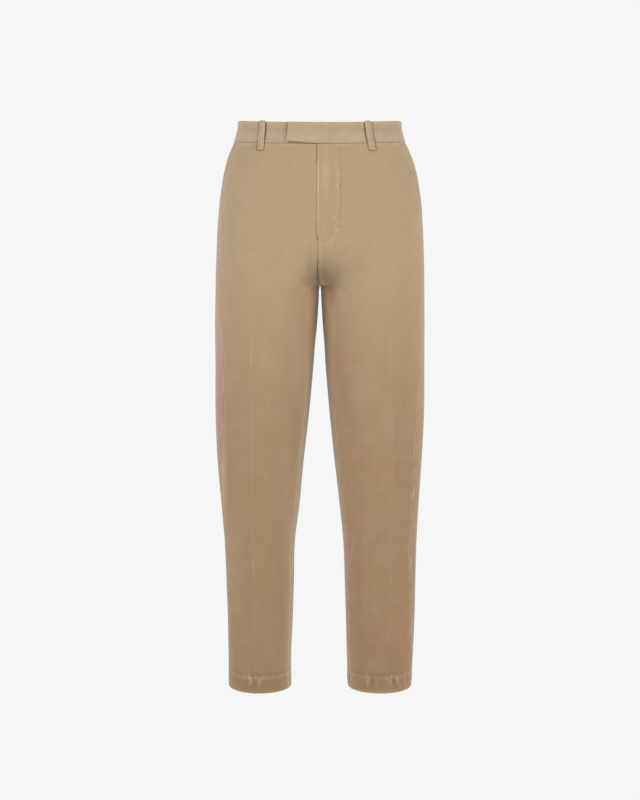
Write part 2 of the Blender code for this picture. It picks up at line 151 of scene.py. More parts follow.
# Sections down the body, in millimetres: the silhouette's edges from the middle, how far
# the cloth reaches to the front and back, where the edges lie front to back, fullness.
sectionNames = ("drop", "outer", "inner", "front", "back", "side", "inside", "fullness",
                "leftOuter", "leftInner")
sectionRows = [
    (-10, 138.4, 0.0, -103.0, 103.0, 0.0, -30.0, 2.24, -0.6, 0.0),
    (0, 139.1, 0.0, -103.5, 104.0, 0.0, -30.0, 2.25, -0.6, 0.0),
    (15, 140.7, 0.0, -104.5, 106.0, 0.0, -30.0, 2.26, -0.6, 0.0),
    (36, 146.5, 0.0, -106.5, 110.0, 0.0, -30.0, 2.28, -0.6, 0.0),
    (57, 155.8, 0.0, -108.5, 115.0, 1.0, -30.0, 2.30, -0.2, 0.0),
    (83, 164.1, 0.0, -110.3, 121.5, 2.0, -30.0, 2.32, 0.4, 0.0),
    (117, 170.7, 0.0, -111.3, 128.5, 3.0, -30.0, 2.34, 0.7, 0.0),
    (168, 175.9, 0.0, -111.7, 134.0, 4.0, -30.0, 2.34, 0.5, 0.0),
    (237, 179.4, 0.0, -110.5, 131.0, 3.0, -30.0, 2.28, 0.3, 0.0),
    (278, 180.6, 0.0, -108.8, 121.5, 1.5, -30.0, 2.22, 0.0, 0.0),
    (285, 180.7, 1.5, -108.4, 120.0, 1.4, -29.5, 2.22, 0.0, 0.0),
    (297, 181.0, 2.1, -107.7, 117.5, 1.0, -27.0, 2.22, -0.1, 0.0),
    (341, 181.8, 4.3, -104.3, 109.0, 0.5, -17.0, 2.20, -0.3, 0.1),
    (411, 181.9, 9.8, -98.2, 98.0, 0.0, -7.0, 2.18, -0.1, 0.8),
    (500, 182.2, 17.5, -88.6, 84.0, -2.0, -4.0, 2.15, -0.3, 1.1),
    (589, 178.8, 27.2, -78.4, 71.5, -3.5, -4.0, 2.12, -0.7, 1.6),
    (661, 173.7, 34.7, -70.6, 65.5, -3.0, -3.0, 2.10, 0.0, 0.8),
    (735, 169.2, 42.8, -63.0, 63.5, 0.0, 0.0, 2.10, 1.1, 1.6),
    (806, 167.5, 45.0, -55.6, 65.5, 5.0, 5.0, 2.08, 1.7, 1.1),
    (880, 166.2, 47.5, -48.0, 69.5, 11.0, 11.0, 2.05, 2.0, 1.2),
    (940, 165.0, 49.6, -41.7, 72.6, 15.5, 15.5, 2.03, 1.2, 1.8),
    (1000, 163.4, 50.9, -35.5, 75.5, 20.0, 20.0, 2.02, 0.1, 0.9),
]

# Where the seams and the front creases run, in degrees round the section.
seamNames = ("drop", "sideLeft", "sideRight", "inseam", "creaseLeft", "creaseRight")
seamRows = [
    (0, 7, 4, 0, 14, 11),
    (204, 8, 6, 0, 14, 11),
    (278, 13, 15, 0, 14, 11),
    (370, 25, 36, 18, 14, 12.5),
    (450, 32, 40, 23, 14, 12),
    (500, 34, 38, 24, 14.5, 10.5),
    (565, 37, 33, 24, 15.5, 9),
    (630, 38, 24, 24, 15.5, 9),
    (690, 38, 18, 24, 15, 9),
    (780, 36, 16, 23, 14, 8),
    (900, 29, 18, 21, 12, 8),
    (1000, 21, 21, 19, 11, 9),
]

# Folds: around in degrees about the leg (-90 front, 0 outer side, 90 back, 180 inner),
# length and width are half-sizes in millimetres, depth is inward where it is negative.
foldNames = ("drop", "around", "length", "width", "tilt", "depth")
largeFolds = {
    "left": [
        # hollow beside the fork
        (325, -140, 75, 20, -6, -4.0),
        # ridge towards the inner knee
        (745, -128, 60, 13, -30, 2.6), (752, -108, 66, 17, -30, -1.8),
        # slack beside the pocket
        (88, -32, 40, 13, 62, -1.8),
        # folds under the seat
        (332, 112, 82, 20, 62, -4.5), (385, 98, 72, 19, 50, -3.0),
        # breaks behind the knee
        (610, 84, 58, 17, 78, -3.0), (668, 100, 52, 15, 70, -2.2),
    ],
    "right": [
        # hollow beside the fork
        (335, -138, 85, 18, -4, -2.5),
        # drag line from the fork
        (258, -112, 44, 14, 72, -1.6),
        # slack beside the pocket
        (92, -30, 40, 13, 58, -1.4),
        # folds under the seat
        (326, 114, 80, 20, 60, -4.5), (392, 102, 76, 19, 46, -3.0),
        # breaks behind the knee
        (622, 88, 60, 17, 76, -3.0), (676, 104, 50, 15, 72, -2.2),
    ],
}


def rowsOf(names, rows):
    return [dict(zip(names, values)) for values in rows]


def columnsOf(names, rows):
    return {name: np.array(values, dtype=float) for name, values in zip(names, zip(*rows))}


section = columnsOf(sectionNames, sectionRows)
seam = columnsOf(seamNames, seamRows)


def mix(first, second, share):
    return first + (second - first) * share


def ease(share):
    share = np.clip(share, 0.0, 1.0)
    return share * share * (3.0 - 2.0 * share)


def rise(drop, start, length):
    return ease((drop - start) / length)


def bell(distance, spread):
    return np.exp(-(distance / spread) ** 2)


def streak(mark, distance):
    # a mark is its strength, how far off its middle lies and its half-width
    strength, middle, width = mark
    return strength * bell(distance - middle, width)


def most(first, *others):
    for other in others:
        first = np.maximum(first, other)
    return first


def lengthOf(vectors):
    return np.linalg.norm(vectors, axis=-1)


def unit(vectors):
    return vectors / lengthOf(vectors)[..., None]


def through(table, name, drop):
    # smooth curve through one column of a table
    at = np.clip(drop / mm, table["drop"][0], table["drop"][-1])
    rows, values = table["drop"], table[name]
    slopes = np.gradient(values, rows)
    low = np.clip(np.searchsorted(rows, at, side="right") - 1, 0, len(rows) - 2)
    span = rows[low + 1] - rows[low]
    share = (at - rows[low]) / span
    hermiteStart = (1 + 2 * share) * (1 - share) ** 2
    hermiteEnd = share * share * (3 - 2 * share)
    leanStart = share * (1 - share) ** 2 * span
    leanEnd = share * share * (share - 1) * span
    curve = hermiteStart * values[low] + hermiteEnd * values[low + 1]
    return curve + leanStart * slopes[low] + leanEnd * slopes[low + 1]


def seamAt(name, side, drop):
    return through(seam, name + side.capitalize(), drop)


def rounded(value, fullness):
    return np.sign(value) * np.abs(value) ** (2.0 / fullness)


def legAngle(side, level, across):
    sideSeam = seamAt("side", side, level)
    inseam = through(seam, "inseam", level)
    front = mix(-180.0 + inseam, -sideSeam, across)
    back = mix(-sideSeam, 180.0 + inseam, across - 1.0)
    return np.where(across <= 1.0, front, back)


def surface(side, drop, across):
    # the smooth cloth on the wearer's left: across is 0 at the centre front or inseam,
    # 1 at the side seam, 2 at the centre back or the inseam again
    depth = cut["crotch"] - cut["forkTop"]
    bend = np.clip((drop - cut["forkTop"]) / depth, 0.0, 1.0) * math.pi / 2
    outward = ease(np.minimum(across, 2.0 - across) / cut["forkReach"])
    turning = (drop > cut["forkTop"]) & (drop < cut["crotch"])
    level = np.where(turning, mix(cut["forkTop"] + depth * np.sin(bend), drop, outward), drop)
    slide = ease(bend / (math.pi / 2))
    thigh = ease((drop - cut["thighTop"]) / (cut["crotch"] - cut["thighTop"]))
    legness = mix(1.0 - np.cos(bend), thigh, outward)

    row = {name: through(section, name, level) for name in sectionNames[1:]}
    sign = sides[side]
    outer = row["outer"] + sign * row["leftOuter"]
    inner = np.maximum(row["inner"] - sign * row["leftInner"], 0.0) * (level > cut["crotch"])
    middle, half = mix(inner, outer, 0.5), (outer - inner) / 2
    sideSeam = seamAt("side", side, level)

    body = np.radians(np.where(across <= 1.0, mix(-90.0, -sideSeam, across),
                               mix(-sideSeam, 90.0, across - 1.0)))
    x = outer * rounded(np.cos(body), row["fullness"])
    share = np.clip(rounded((x - middle) / half, 4.0 / row["fullness"]), -1.0, 1.0)
    matched = np.sign(body) * np.arccos(share)

    leg = mix(matched, np.radians(legAngle(side, level, across)), slide)
    legX = middle + half * rounded(np.cos(leg), row["fullness"])
    x = np.where(bend > 0.0, legX, x)
    sway = fly["sway"] * rise(drop, fly["end"] + fly["step"], fly["step"]) * (across < 1.0)
    sway = sway * (1.0 - rise(drop, fly["swayTurn"], cut["crotch"] - fly["swayTurn"]))
    swayed = x * mm - sign * sway * bell(x * mm, fly["swayWidth"])
    fullness = row["fullness"]
    height = (1.0 - np.clip(np.abs(x) / outer, 0.0, 1.0) ** fullness) ** (1.0 / fullness)
    behind = np.where(bend > 0.0, leg, body) > 0.0
    bodyY = row["side"] + height * np.where(behind, row["back"] - row["side"],
                                            row["front"] - row["side"])
    centre = np.where(np.cos(leg) > 0, row["side"], row["inside"])
    reach = np.where(np.sin(leg) < 0, centre - row["front"], row["back"] - centre)
    legY = centre + reach * rounded(np.sin(leg), row["fullness"])
    y = mix(bodyY, legY, legness) * mm

    forward = np.clip((row["side"] * mm - y) / ((row["side"] - row["front"]) * mm), 0.0, 1.0)
    dip = cut["waistDip"] * forward ** 2
    dip = dip * (1.0 - ease((level - cut["bandHeight"]) / (cut["dipEnd"] - cut["bandHeight"])))
    return np.stack([swayed + cut["seamGap"] / 2, y, -level - dip], axis=-1)


def creasePlaces(side, drop):
    sideSeam = seamAt("side", side, drop)
    inseam = through(seam, "inseam", drop)
    turn = seamAt("crease", side, drop)
    front = (90.0 + turn - inseam) / (180.0 - inseam - sideSeam)
    back = 1.0 + (90.0 - turn + sideSeam) / (180.0 + inseam + sideSeam)
    return front, back


def foldSum(side, drop, around, folds):
    height = np.zeros_like(around)
    for row in rowsOf(foldNames, folds[side]):
        turn = (around - row["around"] + 180.0) % 360.0 - 180.0
        sideways = np.radians(turn) * cut["foldRadius"]
        down = drop - row["drop"] * mm
        tilt = math.radians(row["tilt"])
        along = down * math.cos(tilt) + sideways * math.sin(tilt)
        over = sideways * math.cos(tilt) - down * math.sin(tilt)
        spread = (along / (row["length"] * mm)) ** 2 + (over / (row["width"] * mm)) ** 2
        height += row["depth"] * mm * np.exp(-spread)
    return height


def foldHeight(side, drop, across):
    height = foldSum(side, drop, legAngle(side, drop, across), largeFolds)
    pressed = crease["height"] * ease((drop - crease["top"]) / (crease["full"] - crease["top"]))
    for place in creasePlaces(side, drop):
        height += pressed * bell(across - place, crease["spread"])
    return height


def cloth(side, drop, across, lift=0.0):
    step = 0.001
    drop, across = np.broadcast_arrays(np.asarray(drop, float), np.asarray(across, float))
    down = surface(side, drop + step, across) - surface(side, drop - step, across)
    around = surface(side, drop, across + step) - surface(side, drop, across - step)
    outward = unit(np.cross(down, around))
    height = foldHeight(side, drop, across) + lift
    points = surface(side, drop, across) + outward * height[..., None]
    mirror = np.array([sides[side], 1.0, 1.0])
    return points * mirror, outward * mirror


def acrossAt(side, drop, x):
    moved = sides[side] * through(section, "leftOuter", drop)
    outer = (through(section, "outer", drop) + moved) * mm
    fullness = through(section, "fullness", drop)
    share = np.sign(x) * (np.abs(x) / outer) ** (fullness / 2.0)
    return np.degrees(np.arcsin(share)) / (90.0 - seamAt("side", side, drop))


def lengthsAlong(points):
    # how far each point of a row lies from the row's first one
    steps = lengthOf(np.diff(points, axis=1))
    return np.concatenate([np.zeros((len(points), 1)), np.cumsum(steps, axis=1)], axis=1)


def laidOut(side, drops, across):
    # the cloth under a grid, and how far each point lies from both ends of its row
    plain, outward = cloth(side, drops, across)
    fromStart = lengthsAlong(plain)
    return plain, outward, fromStart, fromStart[:, -1:] - fromStart


def unevenWave(along, spacing, seed):
    # waves that are uneven in length, depth and spacing, the same on every run
    random = np.random.default_rng(seed)
    total = np.zeros_like(along)
    for part in range(5):
        period = spacing * random.uniform(0.62, 1.7)
        size = random.uniform(0.5, 1.0)
        total += size * np.sin(2 * math.pi * along / period + random.uniform(0, 6.28))
    return total / 2.4


def softPatches(along, spacing, seed):
    return ease(0.5 + 0.75 * unevenWave(along, spacing, seed))


def patchy(least, along, spacing, seed):
    return least + (1.0 - least) * softPatches(along, spacing, seed)


# Smaller creases, placed as soft troughs and ridges.
smallFolds = {
    "front": {
        "left": [
            # crinkles beside the left pocket
            (84, -44, 24, 4.0, 70, -0.9), (96, -52, 20, 3.6, 78, 0.7),
            (108, -40, 26, 4.5, 64, -0.8), (150, -30, 34, 5.0, 20, 0.8),
            (62, -64, 30, 7.0, 84, -0.6), (132, -24, 20, 3.5, 40, -0.6),
            # drag lines that run up from the fork
            (236, -118, 34, 6.0, 58, -0.6), (262, -126, 40, 7.0, 44, 0.9),
            (214, -112, 26, 5.0, 66, 0.6), (300, -128, 60, 7.5, 12, 1.0),
            (372, -142, 66, 9.0, 4, -1.2), (470, -134, 74, 10.0, 6, -0.8),
            # beside the ridge at the inner knee
            (688, -116, 46, 5.5, -38, 1.0), (734, -136, 30, 4.0, -24, 2.2),
            (716, -96, 44, 8.0, -42, -0.7), (800, -132, 60, 7.0, -10, -0.9),
            (842, -120, 48, 8.0, 14, 0.6), (590, -58, 66, 11.0, 16, -0.6),
            # slack above the hems
            (890, -78, 40, 7.0, 58, -0.6), (918, -110, 34, 6.0, 70, -0.7),
        ],
        "right": [
            # crinkles beside the left pocket
            (70, -50, 34, 7.0, 80, -0.6), (104, -44, 22, 4.5, 60, 0.5),
            (128, -62, 30, 6.0, 30, -0.5),
            # drag lines that run up from the fork
            (232, -116, 40, 6.0, 66, -1.0), (250, -122, 46, 7.0, 54, 1.0),
            (276, -128, 48, 7.0, 40, -0.7), (300, -134, 46, 6.5, 24, 0.5),
            (372, -140, 64, 8.0, 2, -1.0), (440, -132, 70, 10.0, -5, 0.7),
            # beside the ridge at the inner knee
            (700, -134, 54, 8.0, 14, -0.8), (742, -126, 50, 7.0, 26, 0.7),
            (820, -60, 60, 10.0, -12, -0.6), (600, -52, 70, 11.0, -14, -0.6),
            # slack above the hems
            (896, -102, 40, 7.0, -60, -0.6), (924, -70, 34, 6.0, -72, -0.6),
        ],
    },
    "back": {
        "left": [
            # slack across the seat
            (150, 40, 46, 9.0, 36, -0.9), (205, 62, 54, 9.0, 58, -1.2),
            # drags into the seat seam
            (268, 118, 50, 9.0, 58, -1.1), (296, 96, 58, 9.0, 66, 1.3),
            (356, 128, 62, 8.5, 52, 1.4), (420, 120, 62, 9.0, 40, -1.4),
            (470, 60, 70, 11.0, 24, -0.9),
            # breaks behind the knee
            (585, 112, 46, 7.5, 82, 1.1), (640, 66, 52, 8.0, 74, 1.3),
            (700, 72, 46, 8.0, 60, -1.2), (735, 118, 44, 8.0, 66, 0.9),
            (800, 92, 60, 11.0, 20, -0.8), (900, 84, 44, 8.0, 60, -0.8),
            (930, 130, 34, 7.0, 74, -0.7),
        ],
        "right": [
            # slack across the seat
            (158, 36, 44, 9.0, 40, -0.9), (196, 66, 50, 9.0, 60, -1.1),
            # drags into the seat seam
            (258, 122, 46, 8.5, 50, -0.9), (290, 98, 58, 9.0, 62, 1.2),
            (358, 130, 60, 8.5, 50, 1.3), (428, 122, 60, 9.0, 36, -1.4),
            (480, 54, 70, 11.0, 20, -0.9),
            # breaks behind the knee
            (596, 62, 48, 7.5, 74, 1.1), (648, 124, 50, 8.0, 80, 1.2),
            (708, 76, 44, 8.0, 64, -1.2), (742, 112, 46, 8.0, 62, 0.9),
            (808, 84, 60, 11.0, 16, -0.8), (906, 104, 44, 8.0, 64, -0.8),
            (932, 56, 34, 7.0, 70, -0.7),
        ],
    },
}


class Socket:
    # a shader value that takes Python's operators and adds the Math nodes for them
    def __init__(self, shader, output):
        self.shader = shader
        self.output = output

    def maths(self, operation, first, second=0.0):
        return self.shader.node("ShaderNodeMath", {"operation": operation}, {0: first, 1: second})

    def __add__(self, other):
        return self.maths("ADD", self, other)

    def __sub__(self, other):
        return self.maths("SUBTRACT", self, other)

    def __mul__(self, other):
        return self.maths("MULTIPLY", self, other)

    def __truediv__(self, other):
        return self.maths("DIVIDE", self, other)

    def __pow__(self, other):
        return self.maths("POWER", self, other)

    def __radd__(self, other):
        return self.maths("ADD", other, self)

    def __rsub__(self, other):
        return self.maths("SUBTRACT", other, self)

    def __rmul__(self, other):
        return self.maths("MULTIPLY", other, self)

    def clamped(self):
        return self.maths("MINIMUM", self.maths("MAXIMUM", self, 0.0), 1.0)


class Shader:
    def __init__(self, name):
        self.material = bpy.data.materials.new(name)
        self.material.use_nodes = True
        self.tree = self.material.node_tree
        self.bsdf = self.tree.nodes["Principled BSDF"]

    def node(self, kind, settings=None, values=None, output=0):
        made = self.tree.nodes.new(kind)
        for name, value in (settings or {}).items():
            if name == "stops":
                stops = made.color_ramp.elements
                stops.remove(stops[-1])
                stops[0].position, stops[0].color = value[0]
                for place, colour in value[1:]:
                    stops.new(place).color = colour
            else:
                setattr(made, name, value)
        for name, value in (values or {}).items():
            self.feed(made.inputs[name], value)
        return Socket(self, made.outputs[output])

    def feed(self, entry, value):
        if isinstance(value, Socket):
            self.tree.links.new(value.output, entry)
        else:
            entry.default_value = value

    def blend(self, share, first, second):
        made = self.tree.nodes.new("ShaderNodeMix")
        made.data_type = "RGBA"
        self.feed(made.inputs[0], share)
        self.feed(made.inputs[6], first)
        self.feed(made.inputs[7], second)
        return Socket(self, made.outputs[2])

    def mark(self, name, output="Fac"):
        return self.node("ShaderNodeAttribute", {"attribute_name": name}, output=output)

    def noise(self, place, scale, detail=2.0, roughness=0.5):
        values = {"Vector": place, "Scale": scale, "Detail": detail, "Roughness": roughness}
        return self.node("ShaderNodeTexNoise", {"noise_dimensions": "3D"}, values)

    def bump(self, height, strength):
        values = {"Height": height, "Distance": 1.0, "Strength": strength}
        return self.node("ShaderNodeBump", values=values, output="Normal")

    def stretched(self, place, scale):
        return self.node("ShaderNodeVectorMath", {"operation": "MULTIPLY"}, {0: place, 1: scale})

    def set(self, **values):
        for name, value in values.items():
            self.feed(self.bsdf.inputs[name.replace("_", " ")], value)


cord = {
    "hip": (0.412, 0.288, 0.170, 1.0),
    "hem": (0.322, 0.194, 0.105, 1.0),  # darker and warmer down the legs
    "hemShare": ((0.0, 0.0), (0.24, 0.0), (0.42, 0.45), (0.62, 0.75), (1.0, 1.0)),
    "pale": (0.560, 0.440, 0.300, 1.0),  # worn edges and seam ridges
    "dustyAndLit": (0.430, 0.325, 0.215, 1.0),  # paler patches in the dye, and painted light from the tone marks
    "furrowAndShade": (0.120, 0.078, 0.044, 1.0),  # painted shade inside folds, beside seams and under other parts, and the wales' furrows
    # pattern, where it begins to tell, how fast, its share, and the colour it turns to
    "mottle": (("broad", 0.38, 1.5, 0.22, "dustyAndLit"), ("patchy", 0.42, 2.2, 0.14, "pale"),
               ("streaks", 0.52, -2.0, 0.12, "furrowAndShade"), ("rib", 1.0, -1.0, 0.10, "furrowAndShade"),
               ("nap", 0.5, 1.6, 0.16, "pale")),
    "waleWidth": 0.0014,
    "waleDepth": {"panels": 0.00011, "band": 0.000077},
    "waleRound": 0.6,
    "waleSway": 0.5,
    "napDepth": 0.00016,
    "roughness": (0.84, 0.16),
    "shadeShare": 0.8,
    "wornShare": 0.85,
    "sheen": 0.72,
    "sheenRoughness": 0.32,
    "sheenTint": (1.0, 0.97, 0.92, 1.0),
    "shine": 0.12,
}


def cordMaterial(name, hip, hem, waleDepth):
    shader = Shader(name)
    grain = shader.mark("grain", "Vector")  # metres across the cloth and down it
    place = shader.node("ShaderNodeTexCoord", output="Object")
    pattern = {
        "broad": shader.noise(place, 9.0, 2.0),
        "patchy": shader.noise(place, 38.0, 3.0, 0.55),
        "streaks": shader.noise(shader.stretched(grain, (420.0, 26.0, 1.0)), 1.0, 2.0),
        "nap": shader.noise(shader.stretched(grain, (900.0, 420.0, 1.0)), 1.0, 3.0, 0.65),
    }

    # wales: round ribs with narrow furrows, slightly uneven where the cloth was washed
    across = shader.node("ShaderNodeSeparateXYZ", values={0: grain}, output=0)
    turn = (across / cord["waleWidth"] + pattern["streaks"] * cord["waleSway"]) * (2.0 * math.pi)
    wave = shader.node("ShaderNodeMath", {"operation": "SINE"}, {0: turn})
    pattern["rib"] = (wave * 0.5 + 0.5) ** cord["waleRound"]

    down = shader.node("ShaderNodeSeparateXYZ", values={0: grain}, output=1)
    stops = [(drop, (share, share, share, 1.0)) for drop, share in cord["hemShare"]]
    fall = shader.node("ShaderNodeValToRGB", {"stops": stops}, {"Fac": down})
    colour = shader.blend(fall, hip, hem)
    for source, start, gain, share, paint in cord["mottle"]:
        much = ((pattern[source] - start) * gain).clamped() * share
        colour = shader.blend(much, colour, cord[paint])
    # painted light and painted shade: tone marks lighten or darken the cloth, shade marks darken
    # folds and seams
    tone = shader.mark("tone")
    colour = shader.blend(tone.clamped(), colour, cord["dustyAndLit"])
    colour = shader.blend((tone * -1.0).clamped(), colour, cord["furrowAndShade"])
    patches = pattern["patchy"]
    dark = (shader.mark("shade") * (0.75 + patches * 0.5)).clamped() * cord["shadeShare"]
    colour = shader.blend(dark, colour, cord["furrowAndShade"])
    rubbed = 0.35 + 1.25 * ((patches - 0.3) * 2.0).clamped()
    wear = (shader.mark("worn") * rubbed).clamped() * cord["wornShare"]
    colour = shader.blend(wear, colour, cord["pale"])

    nap = pattern["nap"]
    matte, more = cord["roughness"]
    shader.set(Base_Color=colour, Roughness=(matte + nap * more).clamped(),
               Normal=shader.bump(pattern["rib"] * waleDepth + nap * cord["napDepth"], 0.7),
               Metallic=0.0, Sheen_Weight=cord["sheen"], Sheen_Roughness=cord["sheenRoughness"],
               Sheen_Tint=cord["sheenTint"], Specular_IOR_Level=cord["shine"])
    return shader.material


thread = {
    "colour": (0.45, 0.335, 0.215, 1.0),
    "pale": (0.60, 0.50, 0.36, 1.0),
    "twist": 2600.0,
    "twistDepth": 0.00006,
    "fade": 55.0,
}


def threadMaterial():
    shader = Shader("matching cotton thread")
    place = shader.node("ShaderNodeTexCoord", output="Object")
    fibres = shader.noise(place, thread["twist"], 2.0)
    faded = shader.noise(place, thread["fade"], 2.0)
    colour = shader.blend((faded * 0.9 - 0.2).clamped(), thread["colour"], thread["pale"])
    shader.set(Base_Color=colour, Roughness=0.72, Sheen_Weight=0.2, Specular_IOR_Level=0.25,
               Normal=shader.bump(fibres * thread["twistDepth"], 0.6))
    return shader.material


bandColour = (0.422, 0.310, 0.204, 1.0)
depths = cord["waleDepth"]
# for each slot: its material, and how the cloth is held
finishes = {
    "trouser_cord": (cordMaterial("fine-wale trouser cord", cord["hip"], cord["hem"],
                                  depths["panels"]), "hung"),
    "waistband_cord": (cordMaterial("pressed waistband cord", bandColour, bandColour,
                                    depths["band"]), "stretched"),
}
sewingThread = threadMaterial()
print("materials made")


def unevenSteps(length, fine, coarse, grow):
    # shares of a line: steps start fine at both ends and grow towards the middle
    steps, total, step = [], 0.0, fine
    while total < length / 2:
        steps.append(step)
        total += step
        step = min(step * grow, coarse)
    line = np.concatenate([[0.0], np.cumsum(steps)])
    line = line / line[-1] * 0.5
    return np.concatenate([line, 1.0 - line[-2::-1]])


def gridFaces(rows, columns, middle):
    # triangles of a closed wall between two grids, cut the same way on both faces
    index = np.arange(rows * columns).reshape(rows, columns)
    a, b = index[:-1, :-1].ravel(), index[1:, :-1].ravel()
    c, d = index[1:, 1:].ravel(), index[:-1, 1:].ravel()
    flat = middle.reshape(-1, 3)
    longer = lengthOf(flat[a] - flat[c]) > lengthOf(flat[b] - flat[d])
    first = np.where(longer[:, None], np.stack([b, c, d], 1), np.stack([a, b, c], 1))
    second = np.where(longer[:, None], np.stack([b, d, a], 1), np.stack([a, c, d], 1))
    outside = np.concatenate([first, second])
    inside = outside[:, ::-1] + rows * columns
    rim = np.concatenate([index[0, :], index[1:, -1], index[-1, -2::-1], index[-2:0:-1, 0]])
    there = np.roll(rim, -1)
    count = rows * columns
    edge = np.concatenate([np.stack([rim, there, there + count], 1),
                           np.stack([rim, there + count, rim + count], 1)])
    return np.concatenate([outside, inside, edge])


def meshObject(name, points, faces, materials, sharp=50.0):
    mesh = bpy.data.meshes.new(name)
    mesh.from_pydata(points.tolist(), [], faces.tolist())
    mesh.validate()
    mesh.shade_smooth()
    mesh.set_sharp_from_angle(angle=math.radians(sharp))
    for material in materials:
        mesh.materials.append(material)
    piece = bpy.data.objects.new(name, mesh)
    scene.collection.objects.link(piece)
    return piece


def mark(piece, name, values):
    # a value for each vertex, which the materials read
    kind = "FLOAT_VECTOR" if values.ndim == 2 else "FLOAT"
    attribute = piece.data.attributes.new(name, kind, "POINT")
    attribute.data.foreach_set("vector" if values.ndim == 2 else "value",
                               np.ascontiguousarray(values, dtype=np.float32).ravel())


def turnedOut(points, faces):
    a, b, c = (points[faces[:, k]] for k in range(3))
    return np.einsum("ij,ij->i", a, np.cross(b, c)).sum() > 0


def clothPiece(node, outer, inner, worn, shade, grainX, grainY, slot, tone=0.0):
    # a closed wall between two grids, in place of the node, with its marks
    material, held = finishes[slot]
    rows, columns = outer.shape[:2]
    points = np.concatenate([outer.reshape(-1, 3), inner.reshape(-1, 3)])
    faces = gridFaces(rows, columns, (outer + inner) / 2)
    if not turnedOut(points, faces):
        faces = faces[:, ::-1]
    piece = meshObject("cloth_" + node, points, faces, [material])
    flat = np.zeros(rows * columns)
    grain = np.stack([np.broadcast_to(grainX, outer.shape[:2]).ravel(),
                      np.broadcast_to(grainY, outer.shape[:2]).ravel(), flat], axis=1)
    mark(piece, "grain", np.concatenate([grain, grain + np.array([0.0, 0.0, 0.01])]))
    mark(piece, "worn", np.concatenate([np.clip(worn, 0, 1).ravel(), flat]))
    # the inside of each piece gets an even painted shade
    mark(piece, "shade", np.concatenate([np.clip(shade, 0, 1).ravel(), flat + 0.25]))
    mark(piece, "tone", np.concatenate([(tone + flat.reshape(rows, columns)).ravel(), flat]))
    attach(piece, "root")
    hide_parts(node)
    print(piece.name, len(piece.data.polygons), "faces")


sewing = {
    "stitch": 0.0026,  # length of one stitch
    "space": 0.0009,
    "thick": 0.00055,
    "flatness": 0.8,
    "sink": 0.00005,
    "shares": (0.0, 0.2, 0.5, 0.8, 1.0),
    "rise": (-0.35, 0.35, 0.5, 0.35, -0.35),
    "round": 5,
}


def stitchRow(points, outward, size):
    # stitches along a line on the cloth: each a short thread that dips in at both ends
    along = np.concatenate([[0.0], np.cumsum(lengthOf(np.diff(points, axis=0)))])
    stitch, thick = sewing["stitch"] * size, sewing["thick"] * size
    pitch = stitch + sewing["space"] * size
    shares, high = np.array(sewing["shares"]), np.array(sewing["rise"]) * thick
    turns, ends = sewing["round"], len(sewing["shares"]) - 1
    ring = np.radians(np.arange(turns) * 360 / turns)[None, :, None]
    allPoints, allFaces, count = [], [], 0
    for start in np.arange(pitch * 0.3, along[-1] - stitch, pitch):
        at = start + shares * stitch
        line = np.stack([np.interp(at, along, points[:, k]) for k in range(3)], axis=1)
        up = unit(np.stack([np.interp(at, along, outward[:, k]) for k in range(3)], axis=1))
        line = line + up * (high - sewing["sink"])[:, None]
        aside = unit(np.cross(unit(np.gradient(line, axis=0)), up))
        circle = np.cos(ring) * aside[:, None, :]
        circle = circle + sewing["flatness"] * np.sin(ring) * up[:, None, :]
        allPoints.append((line[:, None, :] + thick / 2 * circle).reshape(-1, 3))
        for row in range(ends):
            for k in range(turns):
                a, b = count + row * turns + k, count + row * turns + (k + 1) % turns
                allFaces += [(a, b, b + turns), (a, b + turns, a + turns)]
        last = count + ends * turns
        for k in range(1, turns - 1):
            allFaces += [(count, count + k + 1, count + k), (last, last + k, last + k + 1)]
        count += len(shares) * turns
    return np.concatenate(allPoints), np.array(allFaces)


def stitching(name, lines):
    points, faces, count = [], [], 0
    for line, outward, size in lines:
        linePoints, lineFaces = stitchRow(line, outward, size)
        points.append(linePoints)
        faces.append(lineFaces + count)
        count += len(linePoints)
    piece = meshObject(name, np.concatenate(points), np.concatenate(faces), [sewingThread])
    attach(piece, "root")


# The leg panels.
panel = {
    "rowStep": 0.0035,
    "fineRowStep": 0.0016,  # beside the fly
    "hemRowStep": 0.0019,
    "hemRows": 0.08,  # how far above the hem these begin
    "topRows": (0.0, 0.0004, 0.0009, 0.0018),
    "endRows": (0.0012, 0.0004, 0.0),
    "width": {"front": 0.205, "back": 0.305},
    "fine": 0.00045,
    "coarse": {"front": 0.0018, "back": 0.0036},
    "grow": 1.35,
    "slant": 0.0004,  # the centre seams run askew through the wall and let no light by
    "shut": 0.003,
    "hemRamp": 0.002,
    "seeds": {"left": 10, "right": 40, "front": 0, "back": 20},
    "foldLightAndShade": {"front": 70.0, "back": 50.0},  # painted highlight: paler by this for each metre of a ridge, and darker as much in a trough
    "toneRange": (-0.14, 0.22),
    "paler": {"left": 0.20, "right": 0.46},  # painted light beside the inner seams, where the legs shade each other
    "palerFrom": (0.285, 0.05),
    "palerSpread": {"front": (1.0, 0.004, 0.017), "back": (1.0, 0.0, 0.030)},
    # painted light along the inner edges where the legs part
    "rim": {"left": 0.20, "right": 0.60},
    "rimFrom": (0.282, 0.020),
    "rimSpread": (1.0, 0.0035, 0.0040),
}


def panelDrops():
    # rows: close together at the waist seam and the hem, and on the rows where pieces step
    top, end = cut["bandHeight"] + cut["gap"], cut["length"]
    stops = [pocket["end"] - pocket["foot"], pocket["end"]]
    stops += [fly["end"] + step * fly["step"] for step in range(3)]
    stops += [cut["forkTop"], cut["crotch"], end - panel["hemRows"], end - cut["hemTurn"], end]
    rows = [top + below for below in panel["topRows"]]
    for stop in stops:
        step = panel["rowStep"]
        if stop <= cut["forkTop"]:
            step = panel["fineRowStep"]
        elif stop > end - panel["hemRows"]:
            step = panel["hemRowStep"]
        count = max(int(round((stop - rows[-1]) / step)), 1)
        rows += list(np.linspace(rows[-1], stop, count + 1)[1:])
    return np.array(rows[:-1] + [end - above for above in panel["endRows"]])


